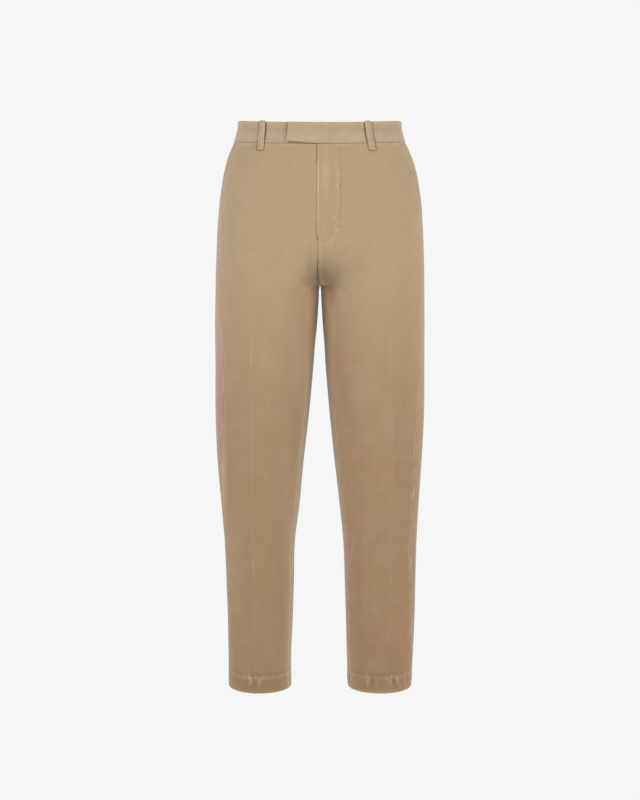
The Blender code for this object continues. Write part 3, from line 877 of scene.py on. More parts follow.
def pocketMouth(side, drop):
    sideSeam = seamAt("side", side, drop)
    top = (90.0 - pocket["top"][side]) / (90.0 - sideSeam)
    down = (drop - cut["bandHeight"]) / (pocket["end"] - cut["bandHeight"])
    return np.where(down < 1.0, mix(top, 1.0, np.clip(down, 0.0, 1.0) ** pocket["bend"]), 1.0)


flyFoot = fly["end"] + fly["step"]


def flyEdge(side, drop):
    if side == "left":
        return fly["lap"] * (1.0 - rise(drop, flyFoot, 0.9 * fly["step"]))
    return fly["under"] * (drop < fly["end"] + 0.5 * fly["step"])


def flyRaise(side, drop, x):
    if side == "right":
        return np.zeros_like(x)
    sunk = 1.0 - rise(drop, fly["end"] + 1.6 * fly["step"], 1.4 * fly["step"])
    tall = (cut["wall"] + cut["gap"]) * sunk
    return tall * (1.0 - rise(x, fly["flat"], fly["ramp"]))


def belowTab(drops, length=0.028):
    return rise(drops, fly["tabFoot"], length)


def rowWidth(side, drop, first, last):
    points = cloth(side, drop, mix(first, last, np.linspace(0.0, 1.0, 25)))[0]
    return lengthOf(np.diff(points, axis=0)).sum()


def panelAcross(side, face, rows):
    across = []
    shares = unevenSteps(panel["width"][face], panel["fine"], panel["coarse"][face], panel["grow"])
    for drop in rows:
        trim = cut["seamGap"] / 2 / rowWidth(side, drop, 0.0, 1.0)
        centre = trim if drop > cut["crotch"] - mm else 0.0
        if face == "front":
            lap = float(acrossAt(side, drop, flyEdge(side, drop)))
            start = centre - lap * (drop < cut["crotch"])
            end = float(pocketMouth(side, drop)) - trim
        else:
            start, end = 1.0 + trim, 2.0 - centre
        across.append(mix(start, end, shares))
    return np.array(across)


def jStitchX(drop):
    # the J of the fly stitching: straight, then curving in to the centre seam
    down = (drop - fly["stitchBend"]) / (fly["stitchEnd"] - fly["stitchBend"])
    return fly["stitchAt"] * np.sqrt(np.maximum(1.0 - np.clip(down, 0.0, 1.0) ** 2.2, 0.0))


# Marks beside the seams, in metres from them.
seams = {
    "edge": (-0.00075, 0.0, 0.0009),  # the cloth turns in at a seam
    "lift": (0.00030, 0.0044, 0.0055),  # the turnings under a pressed-open seam
    "pucker": (0.00022, 0.0, 0.006),
    "puckerSpacing": 0.0105,
    "puckerPatches": 0.09,
    "pale": (0.60, 0.0026, 0.0017),
    "frontSidePale": (0.45, 0.0026, 0.0017),
    "palePatches": 0.05,
    # dark: painted shade in the seams' grooves, and the lap's painted shadow along the fly
    "dark": {"plain": 0.55, "tab": 0.90, "fly": 0.05, "fork": 0.06, "leg": 0.20},
    "darkWidth": 0.0009,
}


def seamMarks(face, drops, fromStart, fromEnd, seed):
    # the cloth turns in at both long edges, over turnings that lift and pucker it, with painted
    # shade along each seam
    front = face == "front"
    relief, worn, shade = (np.zeros_like(drops) for _ in range(3))
    sewn = {"start": drops > (cut["crotch"] if front else 0.0),
            "end": (drops > pocket["end"]) if front else np.ones_like(drops, bool)}
    for number, (edge, distance) in enumerate((("start", fromStart), ("end", fromEnd))):
        puckers = unevenWave(drops, seams["puckerSpacing"], seed + number)
        puckers = puckers * softPatches(drops, seams["puckerPatches"], seed + 5 + number)
        relief += streak(seams["edge"], distance)
        relief += streak(seams["lift"], distance) * sewn[edge]
        relief += puckers * streak(seams["pucker"], distance) * sewn[edge]
        pale = seams["frontSidePale" if edge == "end" and front else "pale"]
        fade = patchy(0.35, drops, seams["palePatches"], seed + 9 + number)
        worn = most(worn, streak(pale, distance) * fade * sewn[edge])
        much = seams["dark"]
        dark = np.full(drops.shape, much["plain"])
        if edge == "start":
            if front:
                lapDark = mix(much["tab"], much["fly"], belowTab(drops))
                dark = np.where(drops < flyFoot, lapDark, dark)
            dark = np.where((drops > flyFoot) & (drops < cut["crotch"]), much["fork"], dark)
            dark = np.where(drops > cut["crotch"], much["leg"], dark)
        shade = most(shade, dark * bell(distance, seams["darkWidth"]))
    return relief, worn, shade


# Marks at the turned hem: those with "depth" in shares of the turn, the others in metres
# below the stitching.
hem = {
    "line": (-0.00040, 0.0015, 0.0016),
    "step": 0.00020,
    "stepAt": (0.002, 0.003),
    "slant": (0.25, 0.021),
    "spacing": {"ropes": 0.0115, "tugs": 0.0125, "wander": 0.026, "flecks": 0.0066},
    "patches": 0.045,
    "ropes": 0.00075,
    "tugs": (0.00045, -0.004, 0.009),
    "wander": 0.0016,
    "depthPale": (0.42, 0.26, 0.26),
    "depthShade": (0.46, 0.34, 0.34),
    "linePale": (0.06, 0.62),
    "lineSpread": (1.0, 0.0022, 0.0026),
    "abovePale": (0.40, -0.0034, 0.0024),
    "aboveShade": (0.13, -0.0050, 0.0034),
    "tugShade": (0.24, -0.0045, 0.0035),
    "edge": (-0.0011, 0.0, 0.0010),  # at the very bottom
    "edgePale": (0.35, 0.0025, 0.0016),
}


def hemMarks(drops, along, seed):
    # a sunk line of stitching, roping below it and small tugs above, with painted shade in their
    # hollows
    below = drops - cut["length"] + cut["hemTurn"]
    depth = np.clip(below / cut["hemTurn"], 0.0, 1.0)
    inHem = (below > 0.0) * 1.0
    spacing = hem["spacing"]
    lean, leanLength = hem["slant"]
    slant = along + lean * below * np.sin(along / leanLength)
    ropes = unevenWave(slant, spacing["ropes"], seed + 14)
    tugs = unevenWave(along, spacing["tugs"], seed + 16)
    strength = patchy(0.25, along, hem["patches"], seed + 15)
    arch = np.sin(math.pi * np.clip(depth * 1.05, 0.0, 1.0)) ** 0.6
    relief = hem["ropes"] * ropes * strength * inHem * arch
    relief += streak(hem["tugs"], below) * tugs * strength * (1 - inHem)
    relief += streak(hem["line"], below) + hem["step"] * rise(below, *hem["stepAt"])
    wander = below - hem["wander"] * unevenWave(along, spacing["wander"], seed + 19)
    flecks = ease((unevenWave(along, spacing["flecks"], seed + 18) + 0.1) * 1.6)
    lifted, sunk = ease((ropes - 0.2) * 1.6) * strength, ease((-ropes - 0.2) * 1.5) * strength
    least, more = hem["linePale"]
    bottom = cut["length"] - drops
    stitched = (least + more * flecks) * streak(hem["lineSpread"], wander)
    worn = most(lifted * inHem * streak(hem["depthPale"], depth),
                stitched * mix(0.35, 1.0, strength),
                flecks * streak(hem["abovePale"], wander) * strength * ease(tugs),
                streak(hem["edgePale"], bottom))
    # painted shade in the roping's troughs, just above the stitching and under the tugs
    shade = most(sunk * inHem * streak(hem["depthShade"], depth),
                 streak(hem["aboveShade"], wander),
                 ease(-tugs * 1.4) * streak(hem["tugShade"], wander) * strength)
    return relief + streak(hem["edge"], bottom), worn, shade


# Marks on a panel under the waist seam, in metres below it.
waistSeam = {
    "edge": (-0.0003, 0.0, 0.0009),
    "pucker": (0.00025, 0.0, 0.010),
    "puckerSpacing": 0.017,
    # painted shade in the groove under the waistband
    "dark": (0.30, 0.0, 0.0009),
    "pale": (0.60, 0.0024, 0.0014),
    "patches": 0.040,
}


def panelRelief(side, face, drops, across, fromStart, fromEnd):
    # small relief over a panel, where it is worn pale, and its painted shade and painted light
    seed = panel["seeds"][side] + panel["seeds"][face]
    creased = foldSum(side, drops, legAngle(side, drops, across), smallFolds[face])
    relief, worn, shade = seamMarks(face, drops, fromStart, fromEnd, seed)
    relief = relief + creased
    strong = rise(drops, *crease["wornFrom"]) * patchy(0.35, drops, crease["patches"], seed + 12)
    strong = strong * (1.0 - 0.8 * rise(drops, *crease["wornTo"]))
    for place in creasePlaces(side, drops):
        ridge = bell(across - place, crease["line"][face]) * strong
        worn = most(worn, crease["worn"][side] * ridge)
        relief = relief + crease["sharp"] * ridge
    hemRelief, hemWorn, hemShade = hemMarks(drops, fromStart, seed)
    top = drops - cut["bandHeight"]
    puckers = unevenWave(fromStart, waistSeam["puckerSpacing"], seed + 17)
    relief = relief + hemRelief + streak(waistSeam["edge"], top)
    relief = relief + puckers * streak(waistSeam["pucker"], top)
    rubbed = patchy(0.30, fromStart, waistSeam["patches"], seed + 21)
    worn = most(worn, hemWorn, streak(waistSeam["pale"], top) * rubbed)
    shade = most(shade, hemShade, streak(waistSeam["dark"], top))

    inside = fromStart if face == "front" else fromEnd
    # painted highlight on the small folds' ridges and painted shade in their troughs, then painted
    # light beside the inner seams and the parting
    tone = np.clip(creased * panel["foldLightAndShade"][face], *panel["toneRange"])
    paler = panel["paler"][side] * rise(drops, *panel["palerFrom"])
    tone = tone + paler * streak(panel["palerSpread"][face], inside)
    rim = panel["rim"][side] * rise(drops, *panel["rimFrom"])
    return relief, worn, shade, tone + rim * streak(panel["rimSpread"], inside)


def loopShadow(x, drops, loopX, across):
    # painted shadow: thin dark lines along both edges of a front belt loop
    fromSide = np.abs(np.abs(x - loopX) - loops["width"] / 2)
    ends = 1.0 - rise(drops, cut["bandHeight"] + loops["below"], 0.001)
    strong = np.where(x < loopX, *loops["dark"])
    return strong * streak(loops["darkSpread"], fromSide) * ends * (across < 1.0)


# Painted light and painted shade over the panels, and broad darker places at the hems.
# drop, x (to the wearer's left), tall and wide are in millimetres, the last two half-sizes.
spotNames = ("drop", "x", "tall", "wide", "amount")
toneMarks = {
    "front": [
        # painted shade in the hollow beside the fork
        (248, 20, 26, 23, -0.42), (250, 0, 26, 12, -0.30), (246, -17, 26, 9, -0.30),
        (240, 52, 24, 18, -0.08), (276, 18, 14, 26, -0.10), (292, 19, 20, 10, -0.30),
        (292, -14, 22, 9, -0.06), (277, 14, 8, 8, -0.16), (277, -11, 8, 6, -0.10),
        (279, 5, 2.5, 5, -0.14), (279, -4, 2.5, 3, -0.08), (233, 6, 14, 9, -0.12),
        # and the seam in it, which catches the light
        (268, 1, 13, 5, 0.75),
        # painted light on the inside of the thighs
        (345, 30, 44, 11, 0.12), (350, -26, 60, 14, 0.14), (405, -34, 50, 15, 0.42),
        # painted light beside the inner seam, down the right leg
        (640, -60, 150, 13, 0.30), (770, -146, 150, 15, 0.22), (948, 122, 24, 26, -0.06),
        # darker at the hems
        (986, -105, 26, 60, -0.14), (986, 105, 26, 60, -0.09), (120, 10, 60, 12, 0.06),
        # painted light beside the fly's edge, against the lap's shadow
        (128, -6.4, 48, 2.4, 0.95),
        # the nap shines along the outer edges
        (480, -173, 50, 4, 0.45), (590, -168, 70, 4.5, 0.85), (500, 175, 55, 4, 0.75),
        (740, 165, 80, 4, 0.50), (330, 177, 60, 5, 0.40),
    ],
    "back": [
        # painted shade beside the seat seam at the fork
        (262, 10, 40, 16, -0.20),
        (262, -10, 40, 16, -0.20),
    ],
}

# Knots in the cloth where the fly's stitching pulls it, in the same terms.
flyKnots = [
    (58, 20, 8.0, 3.0, 0.20), (68, 26, 6.0, 2.2, 0.25), (76, 29, 4.0, 1.8, 0.25),
    (83, 31, 1.4, 4.0, 0.42), (88, 30, 1.4, 3.4, 0.45), (93, 30.5, 1.8, 1.7, 0.60),
    (99.5, 28.6, 2.2, 1.7, 0.75), (106, 27.8, 2.8, 1.9, 0.95), (113, 30.2, 2.0, 1.8, 0.60),
    (119.5, 29.2, 2.2, 1.6, 0.80), (126.5, 30.2, 1.8, 1.7, 0.65), (133, 31.0, 2.2, 1.6, 0.70),
    (138.5, 31.8, 1.8, 1.9, 0.45), (150, 37.0, 12.0, 1.8, 0.22), (161, 22.5, 3.4, 1.8, 0.45),
    (166.5, 24.4, 2.2, 1.8, 0.45), (169.5, 37.6, 1.6, 3.4, 0.55), (172, 31.6, 2.2, 1.8, 0.60),
    (181.5, 29.2, 2.4, 2.8, 0.80), (187, 32.5, 1.8, 2.2, 0.40), (193, 26.6, 2.2, 2.0, 0.55),
    (198.5, 23.0, 1.8, 2.0, 0.55), (202.5, 18.6, 1.6, 3.4, 0.65), (206, 11.0, 1.5, 6.0, 0.50),
    (204.5, 2.0, 2.2, 1.8, 0.50),
]


def spots(rows, drops, x):
    return [row["amount"] * bell(drops - row["drop"] * mm, row["tall"] * mm)
            * bell(x - row["x"] * mm, row["wide"] * mm) for row in rowsOf(spotNames, rows)]


# Marks of the pocket mouths, in metres from the folded edge.
mouthMarks = {
    "sink": (-0.00040, 0.0062, 0.0012),
    "lift": (0.00030, 0.0030, 0.0020),
    "pucker": (0.00028, 0.006, 0.006),
    "puckerSpacing": 0.012,
    "pale": (0.40, 0.0015, 0.0014),
    "patches": 0.03,
    "seed": {"left": 71, "right": 81},
}

# Marks of the fly: off the stitching, the lap's edge or the centre, with the first and
# the length of a rise down the front where there are two values.
flyMarks = {
    "sink": (-0.00045, 0.0, 0.0013),
    "pucker": (0.00030, 0.0, 0.0085),
    "puckerSpacing": 0.0068,
    "puckerFrom": (0.055, 0.04),
    "patches": 0.035,
    "knots": 0.00042,
    "chain": (0.20, (0.35, 0.114, 0.026), (0.25, 0.200, 0.012)),
    "chainSpread": (1.0, -0.0010, 0.0015),
    "chainFrom": (0.055, 0.03),
    "besideShade": (0.26, 0.0030, 0.0016),
    "strip": (0.28, 0.0105, 0.0055),  # the double cloth behind the fly shows paler
    "stripTo": (0.105, 0.05),
    "lapPale": (0.40, 0.85),
    # the lap's painted shadow on the right front
    "lapSpread": (1.0, 0.0010, 0.0012),
    "lapShade": (0.60, 0.0004, 0.0011),
    "parting": (0.95, 0.0, 0.0016),  # painted shade where the legs part
    "centrePale": (0.22, 0.0022, 0.0016),
}


def pocketMarks(side, drops, edge):
    # the folded edge is stitched down and slightly stretched
    mouth = (drops < pocket["end"]) * 1.0
    seed = mouthMarks["seed"][side]
    puckers = unevenWave(drops, mouthMarks["puckerSpacing"], seed)
    relief = streak(mouthMarks["sink"], edge) + streak(mouthMarks["lift"], edge)
    relief = relief + puckers * streak(mouthMarks["pucker"], edge)
    worn = streak(mouthMarks["pale"], edge) * patchy(0.4, drops, mouthMarks["patches"], seed + 1)
    return relief * mouth, worn * mouth


def lapMarks(drops, x):
    # the J stitching sinks and puckers the cloth, the lap's edge is worn, and painted shade lies
    # beside the stitching
    inFly = (drops < fly["stitchEnd"]) * 1.0
    away = x - jStitchX(drops)
    rough = softPatches(drops, flyMarks["patches"], 91)
    relief = streak(flyMarks["sink"], away) * inFly * (drops < fly["stitchBend"] + 0.03)
    wave = unevenWave(drops + 0.35 * away, flyMarks["puckerSpacing"], 92)
    wave = wave * mix(0.25, 1.0, rough) * rise(drops, *flyMarks["puckerFrom"])
    relief = relief + wave * streak(flyMarks["pucker"], away) * inFly
    knots = most(np.zeros_like(drops), *spots(flyKnots, drops, x))
    least, upper, lower = flyMarks["chain"]
    chain = (least + streak(upper, drops) + streak(lower, drops)) * inFly
    chain = chain * streak(flyMarks["chainSpread"], away) * rise(drops, *flyMarks["chainFrom"])
    start, length = flyMarks["stripTo"]
    strip = streak(flyMarks["strip"], x) * ease((start + length - drops) / length)
    lap = mix(*flyMarks["lapPale"], belowTab(drops)) * streak(flyMarks["lapSpread"], x + fly["lap"])
    worn = most(chain, knots, strip, lap * (drops < flyFoot))
    beside = streak(flyMarks["besideShade"], away) * mix(0.4, 1.0, rough)
    return relief + flyMarks["knots"] * knots, worn, beside * inFly * (1.0 - knots)


def underLapShade(drops, x):
    # the lap's painted shadow on the right front
    beside = streak(flyMarks["lapShade"], x - fly["lap"]) * (drops < flyFoot)
    return beside * (1.0 - 0.8 * belowTab(drops, 0.030))


def frontExtras(side, drops, across, x, fromStart, fromEnd, relief, worn, shade):
    topX, bottomX = loops["front"][side]
    foot = cut["bandHeight"] + loops["below"]
    loopX = mix(topX, bottomX, (drops + loops["above"]) / (foot + loops["above"]))
    # painted shadow along and under the front belt loop
    nearLoop = np.abs(x - loopX) < loops["width"] / 2 + loops["footSpread"]
    under = streak(loops["footDark"], drops - foot) * nearLoop
    pocketRelief, pocketWorn = pocketMarks(side, drops, fromEnd)
    shade = most(shade, loopShadow(x, drops, loopX, across), under)
    relief = relief + pocketRelief
    worn = most(worn, pocketWorn)
    if side == "left":
        flyRelief, flyWorn, flyShade = lapMarks(drops, x)
        relief, worn, shade = relief + flyRelief, most(worn, flyWorn), most(shade, flyShade)
    else:
        shade = most(shade, underLapShade(drops, x))
    # painted shade where the legs part
    parting = rise(drops, cut["crotch"] - 0.004, 0.004)
    parting = parting * (1.0 - rise(drops, cut["crotch"] + 0.010, 0.016))
    shade = most(shade, streak(flyMarks["parting"], fromStart) * parting)
    # below the fly the centre seam is sewn
    sewn = (drops > fly["end"] + 2 * fly["step"]) * (drops < cut["crotch"])
    return relief, most(worn, streak(flyMarks["centrePale"], x) * sewn), shade


def makePanel(side, face):
    node = face + "_" + side
    rows = panelDrops()
    across = panelAcross(side, face, rows)
    drops = np.repeat(rows[:, None], across.shape[1], axis=1)
    plain, outward, fromStart, fromEnd = laidOut(side, drops, across)
    x = plain[..., 0] * sides[side]
    relief, worn, shade, tone = panelRelief(side, face, drops, across, fromStart, fromEnd)
    raised = np.zeros_like(drops)
    if face == "front":
        relief, worn, shade = frontExtras(side, drops, across, x, fromStart, fromEnd,
                                          relief, worn, shade)
        raised = flyRaise(side, drops, x)
    inHem = rise(drops, cut["length"] - cut["hemTurn"], panel["hemRamp"])
    wall = mix(cut["wall"], cut["hemWall"], inHem)
    outer = plain + outward * (relief + raised)[..., None]
    inner = plain + outward * (raised + 0.5 * np.minimum(relief, 0.0) - wall)[..., None]
    fromCentre = fromStart if face == "front" else fromEnd
    shut = bell(fromCentre, panel["shut"]) * (drops < cut["crotch"] + mm)
    outer[..., 0] = mix(outer[..., 0], plain[..., 0], shut)
    inner[..., 0] = mix(inner[..., 0], plain[..., 0], shut) + panel["slant"] * shut
    place = creasePlaces(side, drops)[0 if face == "front" else 1]
    tone = tone + sum(spots(toneMarks[face], drops, plain[..., 0]))
    clothPiece(node, outer, inner, worn, shade, (across - place) * fromStart[:, -1:], drops,
               "trouser_cord", tone)


for sideName in sides:
    for faceName in ("front", "back"):
        makePanel(sideName, faceName)


# The pocket facings.
facing = {
    "rows": 60,
    "places": (9, 13),  # behind the front, and in the mouth
    "edge": (-0.0005, 0.0, 0.0009),
    "pale": (0.4, 0.002, 0.0015),
    # painted shade along the edge at the side seam
    "dark": (0.5, 0.0, 0.0007),
}


def makeFacing(side):
    top, end = cut["bandHeight"] + cut["gap"], pocket["end"] - pocket["foot"]
    rows = np.linspace(top, end, facing["rows"])
    behind, inMouth = facing["places"]
    sunk = cut["wall"] + cut["gap"]
    across, lift = [], []
    for drop in rows:
        trim = cut["gap"] / 2 / rowWidth(side, drop, 0.0, 1.0)
        mouth, end = float(pocketMouth(side, drop)) - trim, 1.0 - trim
        places = np.concatenate([np.linspace(mouth - pocket["hidden"], mouth, behind),
                                 np.linspace(mouth, end, inMouth)[1:]])
        across.append(places)
        lift.append(-sunk * (1.0 - rise(places, mouth, end - mouth)))
    across, lift = np.array(across), np.array(lift)
    drops = np.repeat(rows[:, None], across.shape[1], axis=1)
    plain, outward, fromStart, fromEnd = laidOut(side, drops, across)
    outer = plain + outward * (lift + streak(facing["edge"], fromEnd))[..., None]
    inner = plain + outward * (lift - cut["facingWall"])[..., None]
    clothPiece("pocket_facing_" + side, outer, inner, streak(facing["pale"], fromEnd),
               streak(facing["dark"], fromEnd), fromStart, drops, "trouser_cord")


for sideName in sides:
    makeFacing(sideName)


# The waistband halves; marks are in metres from the edge that each is named for.
band = {
    "length": 0.43,
    "turnX": 0.070,  # columns follow x up to here and the seams beyond
    "columns": (0.0005, 0.0012, 1.3),
    "rows": (0.0004, 0.0018, 1.4),
    "topEdge": (-0.0010, 0.0, 0.0011),
    "bottomEdge": (-0.0005, 0.0, 0.0008),
    "tip": (-0.0009, 0.0, 0.0010),
    "dent": 0.00060,  # soft hollow below the top edge, over the stiffening's end
    "dentSpread": (1.0, 0.0135, 0.0038),
    "dentShade": 0.15,
    "dentPatches": 0.06,
    "tabEnd": 0.012,
    "bottomWave": (0.00016, 0.0, 0.012),
    "wave": 0.00012,
    "spacing": {"bottom": 0.019, "wave": 0.034, "mottle": 0.021, "top": 0.03, "low": 0.045},
    "mottle": (0.26, 0.021, 0.010),
    "topPale": (0.60, 0.0014, 0.0018),
    "lowPale": (0.40, 0.0080, 0.0060),
    "tipPale": (0.45, 0.0052, 0.0014),
    "tipPlain": (1.0, 0.0, 0.0030),
    # painted shade along the bottom edge and at the tab's edge, and the tab's painted shadow beside
    # and under it
    "bottomDark": (0.25, 0.0, 0.0008),
    "tipDark": (0.85, 0.0008, 0.0020),
    "besideTab": (0.85, -0.0004, 0.0012),
    "underTab": (0.80, 0.0016, 0.0022),
    "seed": {"left": 201, "right": 231},
}


def cornerRise(fromTip, radius):
    turn = np.clip(1.0 - fromTip / radius, 0.0, 1.0)
    return radius * (1.0 - np.sqrt(1.0 - turn ** 2))


def bandPlaces(side):
    # places across, with the x of those in front, and the top and bottom edge at each
    left = side == "left"
    reach = tab["reach"] if left else tab["under"]
    length = band["length"] + reach
    along = unevenSteps(length, *band["columns"])
    frontLength = band["turnX"] + reach
    frontShare = frontLength / length
    onFront = along <= frontShare
    x = -reach + along[onFront] / frontShare * frontLength
    turnAcross = float(acrossAt(side, 0.0, band["turnX"]))
    frontPlaces = np.array([float(acrossAt(side, 0.0, value)) for value in x])
    backShare = (along[~onFront] - frontShare) / (1.0 - frontShare)
    places = np.concatenate([frontPlaces, mix(turnAcross, 2.0, backShare)])
    localX = np.concatenate([x, np.full(len(backShare), 1.0)])
    top, bottom = np.zeros_like(places), np.full(places.shape, cut["bandHeight"])
    if left:
        share = np.maximum(-fly["lap"] - localX, 0.0) / (tab["reach"] - fly["lap"])
        fromTip = localX + tab["reach"]
        bottom = bottom - tab["slope"] * share - cornerRise(fromTip, tab["corner"])
        top = top + cornerRise(fromTip, tab["topCorner"])
    return places, localX, top, bottom


def makeBand(side):
    left = side == "left"
    places, localX, top, bottom = bandPlaces(side)
    downShare = unevenSteps(cut["bandHeight"], *band["rows"])
    drops = top[None, :] + downShare[:, None] * (bottom - top)[None, :]
    across = np.repeat(places[None, :], len(downShare), axis=0)
    raised = np.full(drops.shape, cut["bandProud"])
    onTab = np.zeros_like(drops)
    if left:
        sunk = 1.0 - rise(localX, tab["flat"], tab["ramp"])
        raised = raised + (cut["bandWall"] + cut["gap"]) * sunk
        onTab = onTab + (localX < band["tabEnd"])
    plain, outward, fromStart, _ = laidOut(side, drops, across)
    fromTop = drops - top[None, :]
    fromBottom = (bottom - top)[None, :] - fromTop
    tipEdge = fromStart if left else np.full(drops.shape, 1.0)
    seed, spacing = band["seed"][side], band["spacing"]
    softDent = streak(band["dentSpread"], fromTop)
    patches = softPatches(fromStart, band["dentPatches"], seed)
    lowWave = unevenWave(fromStart + 0.3 * fromTop, spacing["bottom"], seed + 1)
    relief = (streak(band["topEdge"], fromTop) + streak(band["bottomEdge"], fromBottom)
              + streak(band["tip"], tipEdge) + lowWave * streak(band["bottomWave"], fromBottom)
              - band["dent"] * softDent * mix(0.4, 1.0, patches) * (1.0 - 0.6 * onTab)
              + band["wave"] * unevenWave(fromStart, spacing["wave"], seed + 2))
    mottled = softPatches(fromStart + 0.8 * fromTop, spacing["mottle"], seed + 5)
    high = patchy(0.35, fromStart, spacing["top"], seed + 3)
    low = patchy(0.3, fromStart, spacing["low"], seed + 4)
    worn = most(streak(band["topPale"], fromTop) * high, streak(band["lowPale"], fromBottom) * low,
                mottled * streak(band["mottle"], fromTop), streak(band["tipPale"], tipEdge))
    worn = worn * (1.0 - streak(band["tipPlain"], tipEdge))
    # painted shade in the dent, along the bottom edge and at the tab's edge
    dented = band["dentShade"] * softDent * mix(0.45, 1.0, patches) * (1.0 - 0.8 * onTab)
    shade = most(dented, streak(band["bottomDark"], fromBottom), streak(band["tipDark"], tipEdge))
    if not left:
        # the tab lies over this half, and its shadow is painted on it
        beyondTab = fromStart - (tab["reach"] - tab["under"])
        under = (fromStart < tab["reach"]) * streak(band["underTab"], fromBottom)
        shade = most(shade, streak(band["besideTab"], beyondTab), under)
    share = (drops + loops["above"]) / (cut["bandHeight"] + loops["below"])
    loopX = mix(*loops["front"][side], share)
    shade = most(shade, loopShadow(plain[..., 0] * sides[side], drops, loopX, across))
    outer = plain + outward * (relief + raised)[..., None]
    inner = plain + outward * (raised - cut["bandWall"])[..., None]
    clothPiece("waistband_" + side, outer, inner, worn, shade, fromTop, fromStart,
               "waistband_cord")


for sideName in sides:
    makeBand(sideName)
print("waistband made")


# The belt loops; marks are in metres from the edge, foot, head or middle of the strip.
strip = {
    "rows": 46,
    "columns": (0.0004, 0.0010, 1.3),
    "edge": (-0.0010, 0.0, 0.0011),
    "foot": (-0.0008, 0.0, 0.0009),
    "head": (-0.0009, 0.0, 0.0010),
    "twin": (1.0, 0.0024, 0.0006),  # two rows of stitching
    "twinSink": 0.00028,
    "twinShade": 0.35,
    "ripple": 0.00034,
    "tack": (-0.0004, 0.0042, 0.0011),
    "edgePale": (0.70, 0.0011, 0.0009),
    "footPale": (0.5, 0.001, 0.0012),
    "middlePale": (0.95, -0.0019, 0.0013),
    "spacing": {"ripple": 0.0062, "edge": 0.012, "middle": 0.006, "twin": 0.007, "wobble": 0.0075},
    "wobble": 0.00070,
    "narrowHead": (0.22, 0.0, 0.0016),
    "narrowFoot": (0.12, 0.0, 0.0010),
    "stitchSize": 0.75,
}


def makeLoop(name, side, topAcross, bottomAcross):
    share = np.linspace(0.0, 1.0, strip["rows"])
    drops = mix(-loops["above"], cut["bandHeight"] + loops["below"], share)
    across = mix(topAcross, bottomAcross, share)
    overBand = 1.0 - rise(drops, cut["bandHeight"] + loops["step"] * 0.5, loops["step"])
    hollow = loops["hollow"] * np.sin(math.pi * np.clip(share * 1.25, 0.0, 1.0)) ** 0.7
    lift = cut["gap"] + cut["bandProud"] * overBand + hollow
    middle, outward = cloth(side, drops, across, lift)
    level = unit(cloth(side, drops, across + 0.01)[0] - cloth(side, drops, across - 0.01)[0])
    columns = (unevenSteps(loops["width"], *strip["columns"]) - 0.5) * loops["width"]
    seed = sum(ord(letter) for letter in name)
    length = drops[-1] - drops[0]
    down, offset = np.meshgrid(drops, columns, indexing="ij")
    fromHead = share[:, None] * length + 0 * offset
    fromFoot = (1.0 - share)[:, None] * length + 0 * offset
    fromEdge = loops["width"] / 2 - np.abs(offset)
    spacing = strip["spacing"]
    twin = streak(strip["twin"], np.abs(offset))
    ripple = unevenWave(down + 0.4 * offset, spacing["ripple"], seed)
    relief = (streak(strip["edge"], fromEdge) + streak(strip["foot"], fromFoot)
              + streak(strip["head"], fromHead) + streak(strip["tack"], fromFoot)
              - strip["twinSink"] * twin + strip["ripple"] * ripple)
    edge = patchy(0.4, down, spacing["edge"], seed + 1)
    centre = patchy(0.35, down, spacing["middle"], seed + 2)
    worn = most(streak(strip["edgePale"], fromEdge) * edge, streak(strip["footPale"], fromFoot),
                streak(strip["middlePale"], offset) * centre)
    # painted shade along the sunk rows of stitching
    shade = strip["twinShade"] * twin * patchy(0.4, down, spacing["twin"], seed + 3)
    wobble = np.stack([unevenWave(drops, spacing["wobble"], seed + 4 + (value > 0)) * abs(value)
                       for value in columns / loops["width"]], axis=1)
    narrow = 1.0 - streak(strip["narrowHead"], fromHead) - streak(strip["narrowFoot"], fromFoot)
    spread = offset * narrow + strip["wobble"] * wobble
    inner = middle[:, None, :] + level[:, None, :] * spread[..., None]
    outer = inner + outward[:, None, :] * (loops["wall"] + relief)[..., None]
    clothPiece(name, outer, inner, worn, shade, offset, down, "waistband_cord")
    lines = []
    for column in (-strip["twin"][1], strip["twin"][1]):
        line = middle + level * column + outward * (loops["wall"] - strip["twinSink"])
        lines.append((line[2:-2], outward[2:-2], strip["stitchSize"]))
    return lines


loopLines = []
for sideName in sides:
    topX, bottomX = loops["front"][sideName]
    topPlace = float(acrossAt(sideName, 0.0, topX))
    bottomPlace = float(acrossAt(sideName, cut["bandHeight"] + loops["below"], bottomX))
    loopLines += makeLoop("belt_loop_front_" + sideName, sideName, topPlace, bottomPlace)
    loopLines += makeLoop("belt_loop_side_back_" + sideName, sideName,
                          loops["sideBack"], loops["sideBack"])
loopLines += makeLoop("belt_loop_centre_back", "left", 2.0, 2.0)
stitching("stitches_belt_loops", loopLines)
print("belt loops made")


# Lines of stitching: how many points each has, how far it sinks, and where it starts and ends.
lineMarks = {
    "hemPoints": 160,
    "hemBelow": 0.0015,
    "hemSink": -0.00035,
    "hemEnds": 0.012,
    "pocketPoints": 120,
    "pocketEnds": (0.002, 0.006),
    "pocketIn": 0.0062,
    "pocketSink": -0.00020,
    "flyPoints": (120, 60),
    "flyTop": 0.003,
    "flyCurve": 0.985,
    "flySink": -0.00030,
}


def hemLines(side):
    drop = cut["length"] - cut["hemTurn"] + lineMarks["hemBelow"]
    lines = []
    for start in (0.0, 1.0):
        ends = start + lineMarks["hemEnds"], start + 1.0 - lineMarks["hemEnds"]
        across = np.linspace(*ends, lineMarks["hemPoints"])
        lines.append((*cloth(side, drop, across, lineMarks["hemSink"]), 1.0))
    return lines


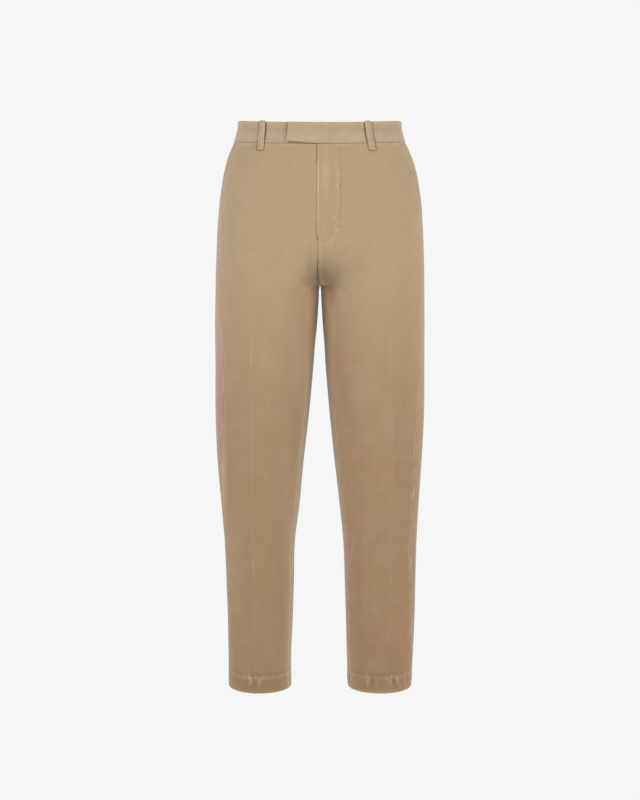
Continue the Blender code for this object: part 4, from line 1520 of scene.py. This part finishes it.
def pocketLines(side):
    top, foot = lineMarks["pocketEnds"]
    drops = np.linspace(cut["bandHeight"] + top, pocket["end"] - foot, lineMarks["pocketPoints"])
    width = np.array([rowWidth(side, drop, 0.0, 1.0) for drop in drops[::10]])
    across = pocketMouth(side, drops) - lineMarks["pocketIn"] / np.interp(drops, drops[::10], width)
    return [(*cloth(side, drops, across, lineMarks["pocketSink"]), 1.0)]


def flyLines():
    straightPoints, curvePoints = lineMarks["flyPoints"]
    bend, end = fly["stitchBend"], fly["stitchEnd"]
    straight = np.linspace(cut["bandHeight"] + lineMarks["flyTop"], bend, straightPoints)
    curve = np.sin(np.linspace(0.0, math.pi / 2, curvePoints))[1:] * lineMarks["flyCurve"]
    drops = np.concatenate([straight, bend + (end - bend) * curve])
    x = jStitchX(drops)
    across = np.array([float(acrossAt("left", drop, value)) for drop, value in zip(drops, x)])
    lift = flyRaise("left", drops, x) + lineMarks["flySink"] * (drops < bend + 0.03)
    return [(*cloth("left", drops, across, lift), 1.0)]


for sideName in sides:
    stitching("stitches_hem_" + sideName, hemLines(sideName))
for sideName in sides:
    stitching("stitches_pocket_" + sideName, pocketLines(sideName))
stitching("stitches_fly", flyLines())
print("sewing made")


# The studio: two lamps, an even sky and a floor as pale as the backdrop.
studio = {
    "backdrop": 0.922,
    "floorDrop": -1.32,
    "floorHalf": 6.0,
    "ambient": 0.53,
    "lampSize": 1.3,
    # place, power, colour and what each lamp is aimed at
    "key light": ((2.3, -1.75, 0.75), 45.0, (1.0, 0.99, 0.97), (0, 0, -0.2)),
    "fill light": ((-2.3, -1.75, 0.70), 42.0, (0.98, 0.99, 1.0), (0, 0, -0.3)),
}


def lamp(name):
    place, power, colour, aim = studio[name]
    data = bpy.data.lights.new(name, "AREA")
    data.shape = "DISK"
    data.size = studio["lampSize"]
    data.energy = power
    data.color = colour
    lampObject = bpy.data.objects.new(name, data)
    lampObject.location = place
    direction = np.array(aim) - np.array(place)
    flat = math.hypot(direction[0], direction[1])
    lampObject.rotation_euler = (math.atan2(flat, -direction[2]), 0.0,
                                 math.atan2(-direction[0], direction[1]))
    scene.collection.objects.link(lampObject)


lamp("key light")
lamp("fill light")

world = bpy.data.worlds.new("studio")
world.use_nodes = True
scene.world = world
worldNodes, worldLinks = world.node_tree.nodes, world.node_tree.links
background = worldNodes["Background"]
rays = worldNodes.new("ShaderNodeLightPath")
brightness = worldNodes.new("ShaderNodeMapRange")
worldLinks.new(rays.outputs["Is Camera Ray"], brightness.inputs["Value"])
brightness.inputs["To Min"].default_value = studio["ambient"]
brightness.inputs["To Max"].default_value = studio["backdrop"]
worldLinks.new(brightness.outputs["Result"], background.inputs["Strength"])
background.inputs["Color"].default_value = (1.0, 1.0, 1.0, 1.0)

half = studio["floorHalf"]
floorMesh = bpy.data.meshes.new("floor")
floorMesh.from_pydata([(-half, -half, 0), (half, -half, 0), (half, half, 0), (-half, half, 0)],
                      [], [(0, 1, 2, 3)])
paint = Shader("pale floor")
paint.set(Base_Color=(0.0, 0.0, 0.0, 1.0), Roughness=1.0, Specular_IOR_Level=0.0,
          Emission_Color=(1.0, 1.0, 1.0, 1.0), Emission_Strength=studio["backdrop"])
floorMesh.materials.append(paint.material)
floor = bpy.data.objects.new("floor", floorMesh)
floor.location = (0.0, 0.0, studio["floorDrop"])
scene.collection.objects.link(floor)

scene.view_settings.view_transform = "Standard"
scene.view_settings.look = "None"
print("studio ready")
